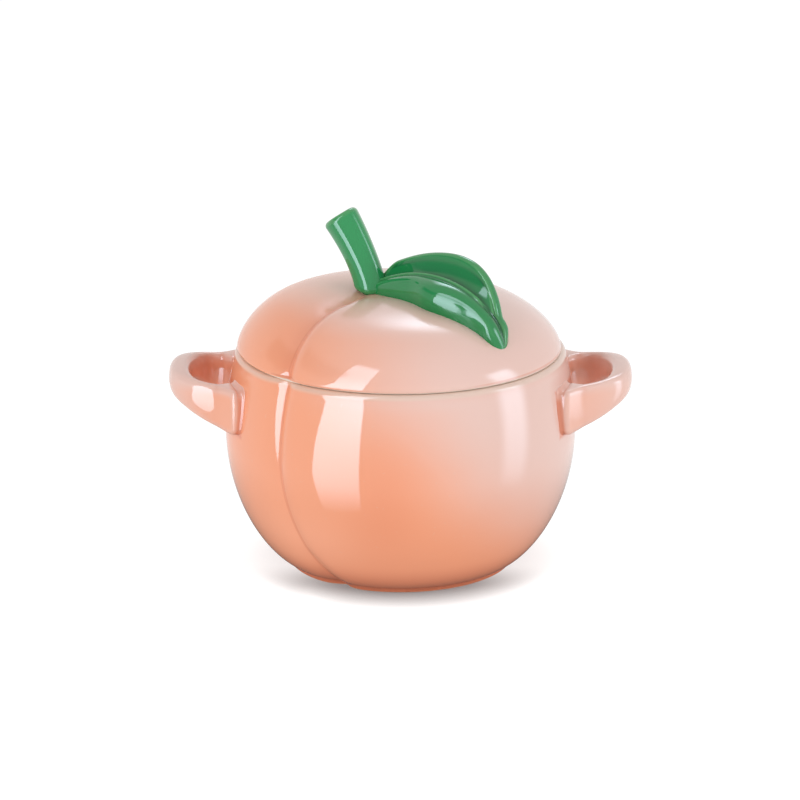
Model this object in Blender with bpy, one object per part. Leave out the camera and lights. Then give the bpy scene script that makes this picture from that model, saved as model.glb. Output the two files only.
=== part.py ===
"""A small lidded stoneware pot shaped like a peach, with two loop handles and a stem-and-leaf knob.

Six pieces: the pot with its two luted handles, and the lid with its luted stem and leaf.
Metres, +Z up. The origin is on the pot's axis at its foot, the handles lie along X, and the
lid's pieces hang on an empty at the seat, which lifts along Z.
"""

import math

import bmesh
import bpy
from mathutils import Matrix, Vector

# Pot
POT_RADIUS = 0.0529
BELLY_HEIGHT = 0.0420
BELLY_FULLNESS = 0.70
RIM_RADIUS = 0.0493
RIM_HEIGHT = 0.0660
RIM_WIDTH = 0.0050
RIM_ROUND = 0.0016
POT_WALL = 0.0048
FLOOR_HEIGHT = 0.0070
FLOOR_RADIUS = 0.0240
FLOOR_FULLNESS = 0.60
FOOT_RADIUS = 0.0332
FOOT_HEIGHT = 0.0014
FOOT_WIDTH = 0.0042
FOOT_RECESS = 0.0016

# Suture crease that runs down the lid and the pot, measured from the front of the pot towards its left
SUTURE_AZIMUTH = math.radians(44.0)
SUTURE_TWIST = math.radians(13.0)
SUTURE_TWIST_POWER = 2.6
SUTURE_DEPTH = 0.0017
SUTURE_LEFT_WIDTH = 0.0064
SUTURE_RIGHT_WIDTH = 0.0030
SUTURE_FADE = 0.0160

# Lid, whose heights are measured from its seat on the rim
LID_INSET = 0.0007
LID_EDGE_DRIFT = 0.0005
LID_EDGE = 0.0022
LID_EDGE_ROUND = 0.0018
LID_DOME = 0.0158
LID_DOME_ROUNDNESS = 3.8
LID_DOME_FULLNESS = 0.80
LID_WALL = 0.0050
DIMPLE_DEPTH = 0.0012
DIMPLE_RADIUS = 0.0095
FLANGE_CLEARANCE = 0.0007
FLANGE_WIDTH = 0.0036
FLANGE_DEPTH = 0.0052
FLANGE_ROUND = 0.0010

# Handles: a loop that flares at its roots, rises towards its tip and gets shallower there
HANDLE_REACH = 0.0168
HANDLE_DROP = 0.0069
HANDLE_TIP_RISE = 0.0029
HANDLE_TIP_HEIGHT = 0.0054
HANDLE_ROOT_HEIGHT = 0.0146
HANDLE_TIP_STRAP = 0.0062
HANDLE_ROUND = 0.0021
HANDLE_STEP = 0.0023
HANDLE_OUTER_ANGLE = math.radians(28.0)
HANDLE_INNER_ANGLE = math.radians(17.5)
HANDLE_TIP_PULL = 0.0090
HANDLE_SHOULDER = 0.0185
HANDLE_WAIST = 0.0160
HANDLE_INNER_WIDTH = 0.0140
HANDLE_UNDERCUT = 1.8

# Where the handles' plan curves turn, as shares of the way from the tip to the pot
SHOULDER_SHARE = 0.10
WAIST_SHARE = 0.60
FLARE_SHARE = 0.90
INNER_SHARE = 0.25

# Stem, placed from the lid's axis
STEM_X = -0.0082
STEM_Y = 0.0020
STEM_RISE = 0.0210
STEM_LEAN_LEFT = 0.0096
STEM_LEAN_BACK = 0.0063
STEM_BOW = 0.0020
STEM_RADIUS = 0.0044
STEM_TOP_RADIUS = 0.0052
STEM_BASE_FLARE = 0.0008
STEM_TOP_ROUND = 0.0011
STEM_FLARE_POWER = 6
STEM_SIDES = 20

# Leaf, placed from the stem's axis, with heights above the lid and widths to either side of the midrib
LEAF_AZIMUTH = math.radians(-40.0)
LEAF_START = 0.0042
LEAF_LENGTH = 0.0475
LEAF_NEAR_BASE = 0.0036
LEAF_NEAR_WIDTH = 0.0046
LEAF_NEAR_TIP = 0.0030
LEAF_RIB_BASE = 0.0042
LEAF_RIB_HEIGHT = 0.0061
LEAF_RIB_TIP = 0.0036
LEAF_RIB_RADIUS = 0.0007
LEAF_FAR_BASE = 0.0078
LEAF_FAR_HEIGHT = 0.0142
LEAF_FAR_WIDTH = 0.0044
LEAF_CREST = 0.0252
LEAF_THICKNESS = 0.0034
LEAF_TIP_ROUND = 0.0036

# Shape of the leaf: how its far half climbs and falls, and how full its two faces are
LEAF_CLIMB_POWER = 1.6
LEAF_FALL_POWER = 2.5
LEAF_FALL_ROUND = 0.67
LEAF_FALL_END = 0.97
LEAF_NEAR_FULLNESS = 0.9
LEAF_NEAR_FLAT = 0.6
LEAF_FAR_HOLLOW = 0.9
LEAF_FAR_FLAT = 0.4
LEAF_TIP_LEAN = 0.4
LEAF_TIP_SLIMMING = 0.5
LEAF_BACK_SLIMMING = 0.8

# Fit and facets
SEAT_GAP = 0.0003
ROOT_DEPTH = 0.0030
TURN_STEPS = 72
CROWDING = 0.64
FILLET_SHARE = 0.45
ROOT_FILLET = 0.40
WELD = 0.000001
SMOOTH_ANGLE = math.radians(40.0)

MOUTH_RADIUS = RIM_RADIUS - RIM_WIDTH
LID_RADIUS = RIM_RADIUS - LID_INSET
LID_SEAT = RIM_HEIGHT + SEAT_GAP
FLANGE_RADIUS = MOUTH_RADIUS - FLANGE_CLEARANCE
HOLLOW_RADIUS = FLANGE_RADIUS - FLANGE_WIDTH
STEM_FOOT = Vector((STEM_X, STEM_Y))
EDGE_CENTRE = Vector((-LID_EDGE_DRIFT, 0.0))
FRONT = math.radians(-90.0)


def steps(count):
    """Even fractions from 0 to 1, both included."""
    return [index / count for index in range(count + 1)]


def mix(first, second, share):
    return first + (second - first) * share


def limited(value):
    return min(1.0, max(0.0, value))


def swell(low, high, share, fullness):
    """A radius that grows from low to high along a rounded quarter curve."""
    return mix(low, high, max(0.0, 1 - (1 - share) ** 2) ** fullness)


def bezier(points, share):
    """A point on the Bezier curve with these control points."""
    while len(points) > 1:
        points = [mix(a, b, share) for a, b in zip(points, points[1:])]
    return points[0]


def bulge(base, middle, tip, share):
    """A smooth value that passes through base, middle and tip at shares 0, one half and 1."""
    return bezier([base, 2 * middle - (base + tip) / 2, tip], share)


def curve(points, count):
    """Points along a Bezier curve, both ends included."""
    vectors = [Vector(point) for point in points]
    return [tuple(bezier(vectors, share)) for share in steps(count)]


def arc(centre, radius, start, end, count=3):
    """Points in a plane along an arc, with angles in degrees."""
    angles = [math.radians(mix(start, end, share)) for share in steps(count)]
    return [(centre[0] + radius * math.cos(a), centre[1] + radius * math.sin(a)) for a in angles]


def wall_radius(height):
    """The pot's outer radius: an upright foot, a rounded belly, and a wall drawn in towards the rim."""
    if height < BELLY_HEIGHT:
        share = limited((height - FOOT_HEIGHT) / (BELLY_HEIGHT - FOOT_HEIGHT))
        return swell(FOOT_RADIUS, POT_RADIUS, share, BELLY_FULLNESS)
    return mix(POT_RADIUS, RIM_RADIUS, ((height - BELLY_HEIGHT) / (RIM_HEIGHT - BELLY_HEIGHT)) ** 2)


def inside_radius(height):
    """The radius of the pot's inside, from its floor to its mouth."""
    widest = POT_RADIUS - POT_WALL
    if height < BELLY_HEIGHT:
        share = (height - FLOOR_HEIGHT) / (BELLY_HEIGHT - FLOOR_HEIGHT)
        return swell(FLOOR_RADIUS, widest, share, FLOOR_FULLNESS)
    return mix(widest, MOUTH_RADIUS, ((height - BELLY_HEIGHT) / (RIM_HEIGHT - BELLY_HEIGHT)) ** 2)


def dome(radius, edge, low, rise):
    """Height of a flat-topped dome that stands on a circle of the radius edge."""
    return low + rise * max(0.0, 1 - (radius / edge) ** LID_DOME_ROUNDNESS) ** LID_DOME_FULLNESS


def lid_top(radius):
    return dome(radius, LID_RADIUS, LID_EDGE, LID_DOME)


def lid_hollow(radius):
    return dome(min(radius, HOLLOW_RADIUS), HOLLOW_RADIUS, 0.0, LID_EDGE + LID_DOME - LID_WALL)


def lid_drift(radius):
    """The centre of a ring of the dome: the stem stands off the lid's axis, and the left cheek is fuller."""
    return mix(STEM_FOOT, EDGE_CENTRE, radius / LID_RADIUS)


def dimple(radius):
    return DIMPLE_DEPTH * math.exp(-((radius / DIMPLE_RADIUS) ** 2))


def lid_height(spot):
    """The lid's outer height over a spot in plan, leaving out the crease."""
    away = spot - STEM_FOOT
    drift = (EDGE_CENTRE - STEM_FOOT) / LID_RADIUS
    slope = away.dot(drift)
    span = 1 - drift.length_squared
    radius = (math.sqrt(slope**2 + span * away.length_squared) - slope) / span
    radius = min(radius, LID_RADIUS)
    return lid_top(radius) - dimple(radius)


def groove(across):
    """Depth of the suture crease at a distance across it: a wide left flank and a steep right one."""
    width = SUTURE_LEFT_WIDTH if across < 0 else SUTURE_RIGHT_WIDTH
    return SUTURE_DEPTH * math.exp(-((across / width) ** 2))


def turned(profile):
    """A closed body turned about Z from (radius, height) points that start and end on the axis."""
    bm = bmesh.new()
    verts = [bm.verts.new((radius, 0.0, height)) for radius, height in profile]
    for first, second in zip(verts, verts[1:]):
        bm.edges.new((first, second))
    bmesh.ops.spin(
        bm,
        geom=bm.verts[:] + bm.edges[:],
        cent=(0, 0, 0),
        axis=(0, 0, 1),
        angle=math.tau,
        steps=TURN_STEPS,
        use_merge=True,
    )
    bmesh.ops.remove_doubles(bm, verts=bm.verts, dist=WELD)
    return bm


def lofted(rings):
    """A closed body through rings of points, with both ends filled."""
    bm = bmesh.new()
    loops = []
    for ring in rings:
        verts = [bm.verts.new(point) for point in ring]
        loops.append([bm.edges.new(pair) for pair in zip(verts, verts[1:] + verts[:1])])
    for first, second in zip(loops, loops[1:]):
        bmesh.ops.bridge_loops(bm, edges=first + second)
    for end in (loops[0], loops[-1]):
        bmesh.ops.contextual_create(bm, geom=end)
    return bm


def crowded(vert):
    """The vertex's radius, and its turn from the suture with the meridians drawn closer there."""
    turn = math.atan2(vert.co.y, vert.co.x)
    return vert.co.xy.length, turn - CROWDING * math.sin(turn)


def shape_pot(bm):
    """Turns the meridians to follow the suture, and presses the crease into the outer wall."""
    for vert in bm.verts:
        radius, turn = crowded(vert)
        height = vert.co.z
        twist = SUTURE_TWIST * limited(1 - height / RIM_HEIGHT) ** SUTURE_TWIST_POWER
        outer = limited(1 - (wall_radius(height) - radius) / FOOT_WIDTH)
        radius -= groove(radius * turn) * outer
        azimuth = FRONT - SUTURE_AZIMUTH + twist + turn
        vert.co.xy = radius * math.cos(azimuth), radius * math.sin(azimuth)


def shape_lid(bm, swelling=0.0):
    """Draws the dome towards the stem, sinks the dimple and the crease, and swells the outside if asked."""
    for vert in bm.verts:
        radius, turn = crowded(vert)
        azimuth = FRONT - SUTURE_AZIMUTH + turn
        outer = limited((vert.co.z - lid_hollow(radius)) / LID_EDGE)
        spot = Vector((radius * math.cos(azimuth), radius * math.sin(azimuth)))
        spot += lid_drift(radius) * outer
        point = Vector((spot.x, spot.y, vert.co.z - dimple(radius) * outer))
        fade = limited(radius / SUTURE_FADE)
        sunk = groove(radius * turn) * fade * outer - swelling
        vert.co = point - point.normalized() * sunk if outer else point


def finish(bm, name, material=None, parent=None):
    """Makes the object, shaded smooth, from a bmesh."""
    bmesh.ops.recalc_face_normals(bm, faces=bm.faces)
    if bm.calc_volume(signed=True) < 0:
        bmesh.ops.reverse_faces(bm, faces=bm.faces)
    mesh = bpy.data.meshes.new(name)
    bm.to_mesh(mesh)
    bm.free()
    mesh.shade_smooth()
    mesh.set_sharp_from_angle(angle=SMOOTH_ANGLE)
    piece = bpy.data.objects.new(name, mesh)
    piece.parent = parent
    bpy.context.scene.collection.objects.link(piece)
    if material:
        mesh.materials.append(material)
    else:
        piece.hide_render = True
        piece.display_type = "WIRE"
    return piece


def cut(piece, cutter):
    modifier = piece.modifiers.new("cut by " + cutter.name, "BOOLEAN")
    modifier.operation = "DIFFERENCE"
    modifier.solver = "EXACT"
    modifier.object = cutter


def glaze(name, colour, roughness):
    material = bpy.data.materials.new(name)
    material.use_nodes = True
    shader = material.node_tree.nodes["Principled BSDF"]
    shader.inputs["Base Color"].default_value = (*colour, 1.0)
    shader.inputs["Roughness"].default_value = roughness
    shader.inputs["Metallic"].default_value = 0.0
    material.diffuse_color = (*colour, 1.0)
    return material


def outer_wall():
    """(radius, height) points up the pot's outside, from the foot to below the rounded rim."""
    top = RIM_HEIGHT - RIM_ROUND
    heights = [0.0] + [mix(FOOT_HEIGHT, BELLY_HEIGHT, share**2) for share in steps(9)]
    heights += [mix(BELLY_HEIGHT, top, share) for share in steps(4)[1:]]
    return [(wall_radius(height), height) for height in heights]


def make_pot(material):
    low = RIM_HEIGHT - RIM_ROUND
    heights = [mix(low, BELLY_HEIGHT, share) for share in steps(3)[1:]]
    heights += [mix(BELLY_HEIGHT, FLOOR_HEIGHT, share**0.6) for share in steps(8)[1:]]
    foot_inside = FOOT_RADIUS - FOOT_WIDTH
    profile = [(0.0, FOOT_RECESS), (foot_inside - FOOT_RECESS, FOOT_RECESS), (foot_inside, 0.0)]
    profile += outer_wall()[:-1]
    profile += arc((wall_radius(low) - RIM_ROUND, low), RIM_ROUND, 0, 90)
    profile += arc((inside_radius(low) + RIM_ROUND, low), RIM_ROUND, 90, 180)
    profile += [(inside_radius(height), height) for height in heights]
    profile.append((0.0, FLOOR_HEIGHT))
    bm = turned(profile)
    shape_pot(bm)
    return finish(bm, "pot_body", material)


def make_pot_clearance():
    """The pot's outside with the seat gap around it, which trims the handles' roots."""
    profile = [(radius + SEAT_GAP, height) for radius, height in outer_wall()]
    profile = [(0.0, 0.0)] + profile + [(0.0, profile[-1][1])]
    bm = turned(profile)
    shape_pot(bm)
    return finish(bm, "pot_clearance")


def handle_root():
    """The height of a handle's top at the pot, and the pot's radius behind the handle's root."""
    top = RIM_HEIGHT - HANDLE_DROP
    return top, wall_radius(top - HANDLE_ROOT_HEIGHT / 2)


def handle_curves():
    """Plan curves of half a handle from its tip to the pot, outer then inner: control points and root."""
    wall = handle_root()[1]
    tip = POT_RADIUS + HANDLE_REACH
    hole = tip - HANDLE_TIP_STRAP
    outer_way = Vector((math.cos(HANDLE_OUTER_ANGLE), math.sin(HANDLE_OUTER_ANGLE)))
    inner_way = Vector((math.cos(HANDLE_INNER_ANGLE), math.sin(HANDLE_INNER_ANGLE)))
    outer = [
        Vector((tip, 0.0)),
        Vector((tip, HANDLE_TIP_PULL)),
        Vector((mix(tip, POT_RADIUS, SHOULDER_SHARE), HANDLE_SHOULDER)),
        Vector((mix(tip, POT_RADIUS, WAIST_SHARE), mix(HANDLE_SHOULDER, HANDLE_WAIST, WAIST_SHARE))),
        Vector((mix(tip, POT_RADIUS, FLARE_SHARE), HANDLE_WAIST)),
        outer_way * (wall + HANDLE_STEP),
    ]
    inner = [
        Vector((hole, 0.0)),
        Vector((hole, HANDLE_TIP_PULL)),
        Vector((mix(hole, POT_RADIUS, INNER_SHARE), HANDLE_INNER_WIDTH)),
        inner_way * wall,
    ]
    return (outer, outer_way * (wall - ROOT_DEPTH)), (inner, inner_way * (wall - ROOT_DEPTH))


def handle_section(outer, inner):
    """A rounded rectangle that spans the loop's outer and inner points, deeper towards the pot."""
    root_top, wall = handle_root()
    root = wall * math.cos(HANDLE_OUTER_ANGLE)
    middle = (outer + inner) / 2
    out = limited((middle.x - root) / (POT_RADIUS + HANDLE_REACH - root))
    top = root_top + HANDLE_TIP_RISE * out**2
    tip_bottom = root_top + HANDLE_TIP_RISE - HANDLE_TIP_HEIGHT
    bottom = mix(root_top - HANDLE_ROOT_HEIGHT, tip_bottom, out**HANDLE_UNDERCUT)
    half = (outer - inner).length / 2
    across = (outer - inner).normalized()
    corner = min(HANDLE_ROUND, FILLET_SHARE * (top - bottom), 2 * FILLET_SHARE * half)
    points = arc((half - corner, top - corner), corner, 0, 90)
    points += arc((corner - half, top - corner), corner, 90, 180)
    points += arc((corner - half, bottom + corner), corner, 180, 270)
    points += arc((half - corner, bottom + corner), corner, 270, 360)
    return [(*(middle + across * along), level) for along, level in points]


def make_handle(name, turn, material, clearance):
    (outer, outer_root), (inner, inner_root) = handle_curves()
    half = [(bezier(outer, share), bezier(inner, share)) for share in steps(11)]
    corner = half.pop()[0]
    before = mix(corner, half[-1][0], ROOT_FILLET)
    after = mix(corner, outer_root, ROOT_FILLET)
    for share in steps(2):
        half.append((bezier([before, corner, after], share), mix(inner[-1], inner_root, ROOT_FILLET * share)))
    half.append((outer_root, inner_root))
    mirror = Matrix.Diagonal((1, -1))
    stations = [(mirror @ a, mirror @ b) for a, b in reversed(half[1:])] + half
    handle = finish(lofted([handle_section(a, b) for a, b in stations]), name, material)
    handle.rotation_euler.z = turn
    cut(handle, clearance)
    return handle


def hollow_shares():
    """Radii from 0 as shares of the hollow's radius, closer together where its dome bends."""
    return [share**0.7 for share in steps(8)]


def dome_shares():
    """Radii down to 0 as shares of the lid's radius, closer together where the dome's shoulder bends."""
    return [math.sqrt(math.cos(math.radians(90 * share))) for share in steps(12)[1:-1]] + [0.0]


def make_lid(material, parent):
    flange_low = FLANGE_ROUND - FLANGE_DEPTH
    edge = arc((LID_RADIUS - LID_EDGE_ROUND, 0.0), LID_EDGE_ROUND, 270, 360)
    profile = [(HOLLOW_RADIUS * share, lid_hollow(HOLLOW_RADIUS * share)) for share in hollow_shares()]
    profile += arc((HOLLOW_RADIUS + FLANGE_ROUND, flange_low), FLANGE_ROUND, 180, 270, 2)
    profile += arc((FLANGE_RADIUS - FLANGE_ROUND, flange_low), FLANGE_ROUND, 270, 360, 2)
    profile.append((FLANGE_RADIUS, 0.0))
    profile += [(radius, LID_EDGE * (1 + level / LID_EDGE_ROUND)) for radius, level in edge]
    profile += [(LID_RADIUS * share, lid_top(LID_RADIUS * share)) for share in dome_shares()]
    bm = turned(profile)
    shape_lid(bm)
    return finish(bm, "lid", material, parent)


def make_lid_clearance(parent):
    """The lid's outside with the seat gap over it, which trims the roots of the stem and the leaf."""
    profile = [(0.0, -FLANGE_DEPTH), (LID_RADIUS, -FLANGE_DEPTH), (LID_RADIUS, LID_EDGE)]
    profile += [(LID_RADIUS * share, lid_top(LID_RADIUS * share)) for share in dome_shares()]
    bm = turned(profile)
    shape_lid(bm, SEAT_GAP)
    return finish(bm, "lid_clearance", parent=parent)


def stem_rings(swelling=0.0):
    """Rings up the stem's bowed axis, flared at the foot and the top, with a rounded end."""
    foot = Vector((*STEM_FOOT, lid_height(STEM_FOOT)))
    lean = Vector((-STEM_LEAN_LEFT, STEM_LEAN_BACK, STEM_RISE))
    axis = [foot, foot + lean / 2 + Vector((STEM_BOW, 0.0, 0.0)), foot + lean]
    start = (axis[1] - axis[0]).normalized()
    end = (axis[2] - axis[1]).normalized()
    stations = [(foot - start * ROOT_DEPTH, start, STEM_RADIUS + STEM_BASE_FLARE)]
    for share in steps(8):
        flare = STEM_BASE_FLARE * (1 - share) ** STEM_FLARE_POWER
        radius = mix(STEM_RADIUS, STEM_TOP_RADIUS, share**2) + flare
        stations.append((bezier(axis, share), mix(start, end, share).normalized(), radius))
    tip = axis[2]
    for inset, rise in arc((-STEM_TOP_ROUND, 0.0), STEM_TOP_ROUND, 0, 80, 3)[1:]:
        stations.append((tip + end * (rise + swelling), end, STEM_TOP_RADIUS + inset))
    rings = []
    for centre, way, radius in stations:
        across = way.cross(Vector((0.0, 1.0, 0.0))).normalized()
        ahead = across.cross(way)
        angles = [math.tau * share for share in steps(STEM_SIDES)[:-1]]
        reach = radius + swelling
        rings.append([centre + (across * math.cos(a) + ahead * math.sin(a)) * reach for a in angles])
    return rings


def make_stem(material, parent, clearance):
    stem = finish(lofted(stem_rings()), "stem", material, parent)
    cut(stem, clearance)
    return stem


def leaf_section(share):
    """(across, height) points round the leaf: near half on the lid, midrib, and a far half that stands up."""
    tip = limited(1 - (1 - share) * LEAF_LENGTH / LEAF_TIP_ROUND)
    scale = math.sqrt(1 - tip**2)
    near = bulge(LEAF_NEAR_BASE, LEAF_NEAR_WIDTH, LEAF_NEAR_TIP, share) * scale
    rib = bulge(LEAF_RIB_BASE, LEAF_RIB_HEIGHT, LEAF_RIB_TIP, share) * scale
    crest = LEAF_CREST / LEAF_LENGTH
    if share < crest:
        far = mix(LEAF_FAR_HEIGHT, LEAF_FAR_BASE, (1 - share / crest) ** LEAF_CLIMB_POWER)
    else:
        fall = limited((share - crest) / (LEAF_FALL_END - crest))
        far = LEAF_FAR_HEIGHT * (1 - fall**LEAF_FALL_POWER) ** LEAF_FALL_ROUND
    far = max(far, LEAF_NEAR_FULLNESS * rib)
    rise = far - rib
    stand = limited(rise / (LEAF_FAR_HEIGHT - LEAF_RIB_HEIGHT))
    width = LEAF_FAR_WIDTH * mix(LEAF_TIP_LEAN, 1.0, stand) * scale
    thick = min(LEAF_THICKNESS, LEAF_BACK_SLIMMING * far) * mix(LEAF_TIP_SLIMMING, 1.0, scale)
    lip = thick / 2
    bump = LEAF_RIB_RADIUS * scale
    near_face = [
        (-near, -ROOT_DEPTH),
        (-near, LEAF_NEAR_FULLNESS * rib),
        (-near * LEAF_NEAR_FLAT, rib),
        (-bump, rib),
    ]
    far_face = [
        (bump, rib),
        (width * LEAF_FAR_FLAT, rib),
        (width * LEAF_FAR_HOLLOW, rib + rise / 2),
        (width, far - lip),
    ]
    points = curve(near_face, 6)
    points += arc((0.0, rib), bump, 150, 30, 2)
    points += curve(far_face, 5)
    points += arc((width + lip, far - lip), lip, 150, 0, 4)
    points.append((width + thick, -ROOT_DEPTH))
    return points


def make_leaf(material, parent, lid_clearance, stem_clearance):
    along = Vector((math.cos(LEAF_AZIMUTH), math.sin(LEAF_AZIMUTH)))
    across = Vector((-along.y, along.x))
    round_share = LEAF_TIP_ROUND / LEAF_LENGTH
    shares = [-LEAF_START / LEAF_LENGTH] + [mix(0.0, 1 - round_share, share) for share in steps(16)]
    shares += [1 - round_share * (1 - math.sin(math.radians(turn))) for turn in (25, 50, 70, 82)]
    rings = []
    for share in shares:
        spine = STEM_FOOT + along * (LEAF_START + LEAF_LENGTH * share)
        floor = lid_height(spine)
        rings.append([(*(spine + across * side), floor + level) for side, level in leaf_section(share)])
    leaf = finish(lofted(rings), "leaf", material, parent)
    cut(leaf, lid_clearance)
    cut(leaf, stem_clearance)
    return leaf


def main():
    for item in list(bpy.data.objects):
        bpy.data.objects.remove(item, do_unlink=True)

    make_pot(glaze("pot glaze", (0.80, 0.42, 0.30), 0.12))
    pot_clearance = make_pot_clearance()
    make_handle("right_handle", 0.0, glaze("right handle glaze", (0.78, 0.45, 0.34), 0.12), pot_clearance)
    make_handle("left_handle", math.pi, glaze("left handle glaze", (0.80, 0.42, 0.30), 0.12), pot_clearance)

    lift = bpy.data.objects.new("lid_lift", None)
    lift.location.z = LID_SEAT
    bpy.context.scene.collection.objects.link(lift)
    make_lid(glaze("lid glaze", (0.78, 0.52, 0.45), 0.12), lift)
    lid_clearance = make_lid_clearance(lift)
    stem_clearance = finish(lofted(stem_rings(SEAT_GAP)), "stem_clearance", parent=lift)
    make_stem(glaze("stem glaze", (0.03, 0.26, 0.10), 0.12), lift, lid_clearance)
    make_leaf(glaze("leaf glaze", (0.03, 0.24, 0.09), 0.12), lift, lid_clearance, stem_clearance)


main()
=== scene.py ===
"""Glazed finish for a small lidded pot shaped like a peach.

Laid out as an add-on: sizes and colours are properties, each piece has an operator, and a sidebar
panel lists them. Run as a script, it makes every piece in order. Metres, +Z up, in the solids' frame.
"""

import math

import bmesh
import bpy
from bpy.props import FloatProperty, FloatVectorProperty, IntProperty, PointerProperty
from mathutils import Matrix, Vector


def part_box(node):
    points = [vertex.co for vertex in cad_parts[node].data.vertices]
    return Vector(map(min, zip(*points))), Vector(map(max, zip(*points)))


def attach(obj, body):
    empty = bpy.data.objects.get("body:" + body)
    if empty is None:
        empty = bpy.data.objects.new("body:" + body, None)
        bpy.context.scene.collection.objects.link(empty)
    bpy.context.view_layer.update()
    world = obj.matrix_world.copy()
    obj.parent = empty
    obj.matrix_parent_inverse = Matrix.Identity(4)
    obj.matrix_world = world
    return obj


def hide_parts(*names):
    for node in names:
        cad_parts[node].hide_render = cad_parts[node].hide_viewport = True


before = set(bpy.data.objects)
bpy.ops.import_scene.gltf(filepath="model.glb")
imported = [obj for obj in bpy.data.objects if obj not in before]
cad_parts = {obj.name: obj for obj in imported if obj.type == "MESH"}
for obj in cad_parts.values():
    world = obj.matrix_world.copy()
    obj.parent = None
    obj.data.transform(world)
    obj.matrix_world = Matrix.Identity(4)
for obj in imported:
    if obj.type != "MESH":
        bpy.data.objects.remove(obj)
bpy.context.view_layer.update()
_, POT_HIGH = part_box("pot_body")
_, HANDLE_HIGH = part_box("right_handle")

bl_info = {
    "name": "Peach pot",
    "version": (1, 0, 0),
    "blender": (4, 5, 0),
    "location": "3D View > Sidebar > Peach pot",
    "description": "Makes a glazed pot with loop handles, and its lid with a stem and a leaf",
    "category": "Add Mesh",
}

FRONT = math.radians(-90.0)
WELD = 0.000001
SEAT_GAP = 0.0001
TIP_INSET = 0.0002
AIM_HEIGHT = 0.05


def length(name, description, default):
    """A size in metres."""
    return FloatProperty(
        name=name, description=description, default=default, precision=5, unit="LENGTH", subtype="DISTANCE"
    )


def turn(name, description, degrees):
    """An angle, given in degrees."""
    return FloatProperty(
        name=name, description=description, default=math.radians(degrees), unit="ROTATION", subtype="ANGLE"
    )


def share(name, description, default):
    """A part of a whole."""
    return FloatProperty(name=name, description=description, default=default, subtype="FACTOR")


def power(name, description, default):
    """An exponent that bends a curve."""
    return FloatProperty(name=name, description=description, default=default)


def watts(name, description, default):
    """How strong a lamp is."""
    return FloatProperty(name=name, description=description, default=default, unit="POWER")


def colour(name, description, default):
    """A colour in linear light."""
    return FloatVectorProperty(
        name=name, description=description, default=default, size=3, min=0.0, max=1.0, subtype="COLOR"
    )


class PotSizes(bpy.types.PropertyGroup):
    """The pot."""

    belly_radius: length("Belly radius", "Radius of the pot at its widest", POT_HIGH.y)
    belly_height: length("Belly height", "Height of the widest place", 0.0420)
    belly_fullness: power("Belly fullness", "How soon the belly swells above the foot", 0.70)
    rim_radius: length("Rim radius", "Outer radius of the rim", 0.0493)
    rim_height: length("Rim height", "Height of the rim", POT_HIGH.z)
    rim_width: length("Rim width", "Width of the rim", 0.0050)
    rim_round: length("Rim rounding", "Radius of the rim's two edges", 0.0016)
    wall: length("Wall", "Thickness of the wall at the belly", 0.0048)
    floor_height: length("Floor height", "Height of the floor inside", 0.0070)
    floor_radius: length("Floor radius", "Radius of the flat floor inside", 0.0240)
    floor_fullness: power("Floor fullness", "How soon the inside widens above the floor", 0.60)
    foot_radius: length("Foot radius", "Outer radius of the foot ring", 0.0341)
    foot_height: length("Foot height", "Height of the foot ring", 0.0014)
    foot_width: length("Foot width", "Width of the ring that the pot stands on", 0.0042)
    foot_recess: length("Foot recess", "Depth of the hollow inside the foot ring", 0.0016)
    foot_round: length("Foot rounding", "Radius of the foot's edges", 0.0005)


class CreaseSizes(bpy.types.PropertyGroup):
    """The peach's crease, which runs down the lid and the pot."""

    azimuth: turn("Azimuth", "Turn from the front to the crease at the rim, towards the left", 44.0)
    twist: turn("Twist", "Turn of the crease back towards the front at the foot", 13.0)
    twist_power: power("Twist power", "How late the twist comes on the way down", 2.6)
    depth: length("Depth", "Depth of the crease at the rim and the foot", 0.0027)
    dome_depth: length("Dome depth", "Depth of the crease on top of the lid", 0.0026)
    waist_depth: length("Waist depth", "Depth of the crease where the pot is widest", 0.0010)
    left_width: length("Left width", "Width of the left flank on the pot", 0.0040)
    dome_width: length("Dome width", "Width of the left flank on top of the lid", 0.0072)
    right_width: length("Right width", "Width of the steep right flank", 0.0030)
    left_power: power("Left power", "How long the left flank stays low before it rises", 1.3)
    right_power: power("Right power", "How long the right flank stays low before it rises", 1.4)
    pinch: length("Pinch", "Distance from the rim over which the crease grows shallow on the lid", 0.0110)
    waist: length("Waist", "Height at which the crease grows deeper towards the rim", 0.0310)
    fade: length("Fade", "Distance from the stem over which the crease appears", 0.0160)


class LidSizes(bpy.types.PropertyGroup):
    """The domed lid. Heights are measured from its seat."""

    seat: length("Seat", "Height of the lid's seat above the ground", POT_HIGH.z + SEAT_GAP)
    radius: length("Radius", "Outer radius of the lid", 0.0486)
    edge: length("Edge", "Height of the lid's rounded edge", 0.0010)
    edge_round: length("Edge rounding", "Radius of the edge", 0.0009)
    edge_drift: length("Edge drift", "How far the edge stands to the left of the pot's axis", 0.0005)
    dome: length("Dome", "Rise of the dome above its edge", 0.0170)
    roundness: power("Dome roundness", "How flat the top of the dome is", 3.8)
    fullness: power("Dome fullness", "How full the dome's shoulder is", 0.70)
    wall: length("Wall", "Thickness of the lid", 0.0050)
    dimple_depth: length("Dimple depth", "Depth of the dimple under the stem", 0.0012)
    dimple_radius: length("Dimple radius", "Radius of the dimple", 0.0095)
    flange_radius: length("Flange radius", "Outer radius of the flange in the pot's mouth", 0.0436)
    flange_width: length("Flange width", "Width of the flange", 0.0036)
    flange_depth: length("Flange depth", "Depth of the flange below the seat", 0.0052)
    flange_round: length("Flange rounding", "Radius of the flange's edges", 0.0010)


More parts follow.
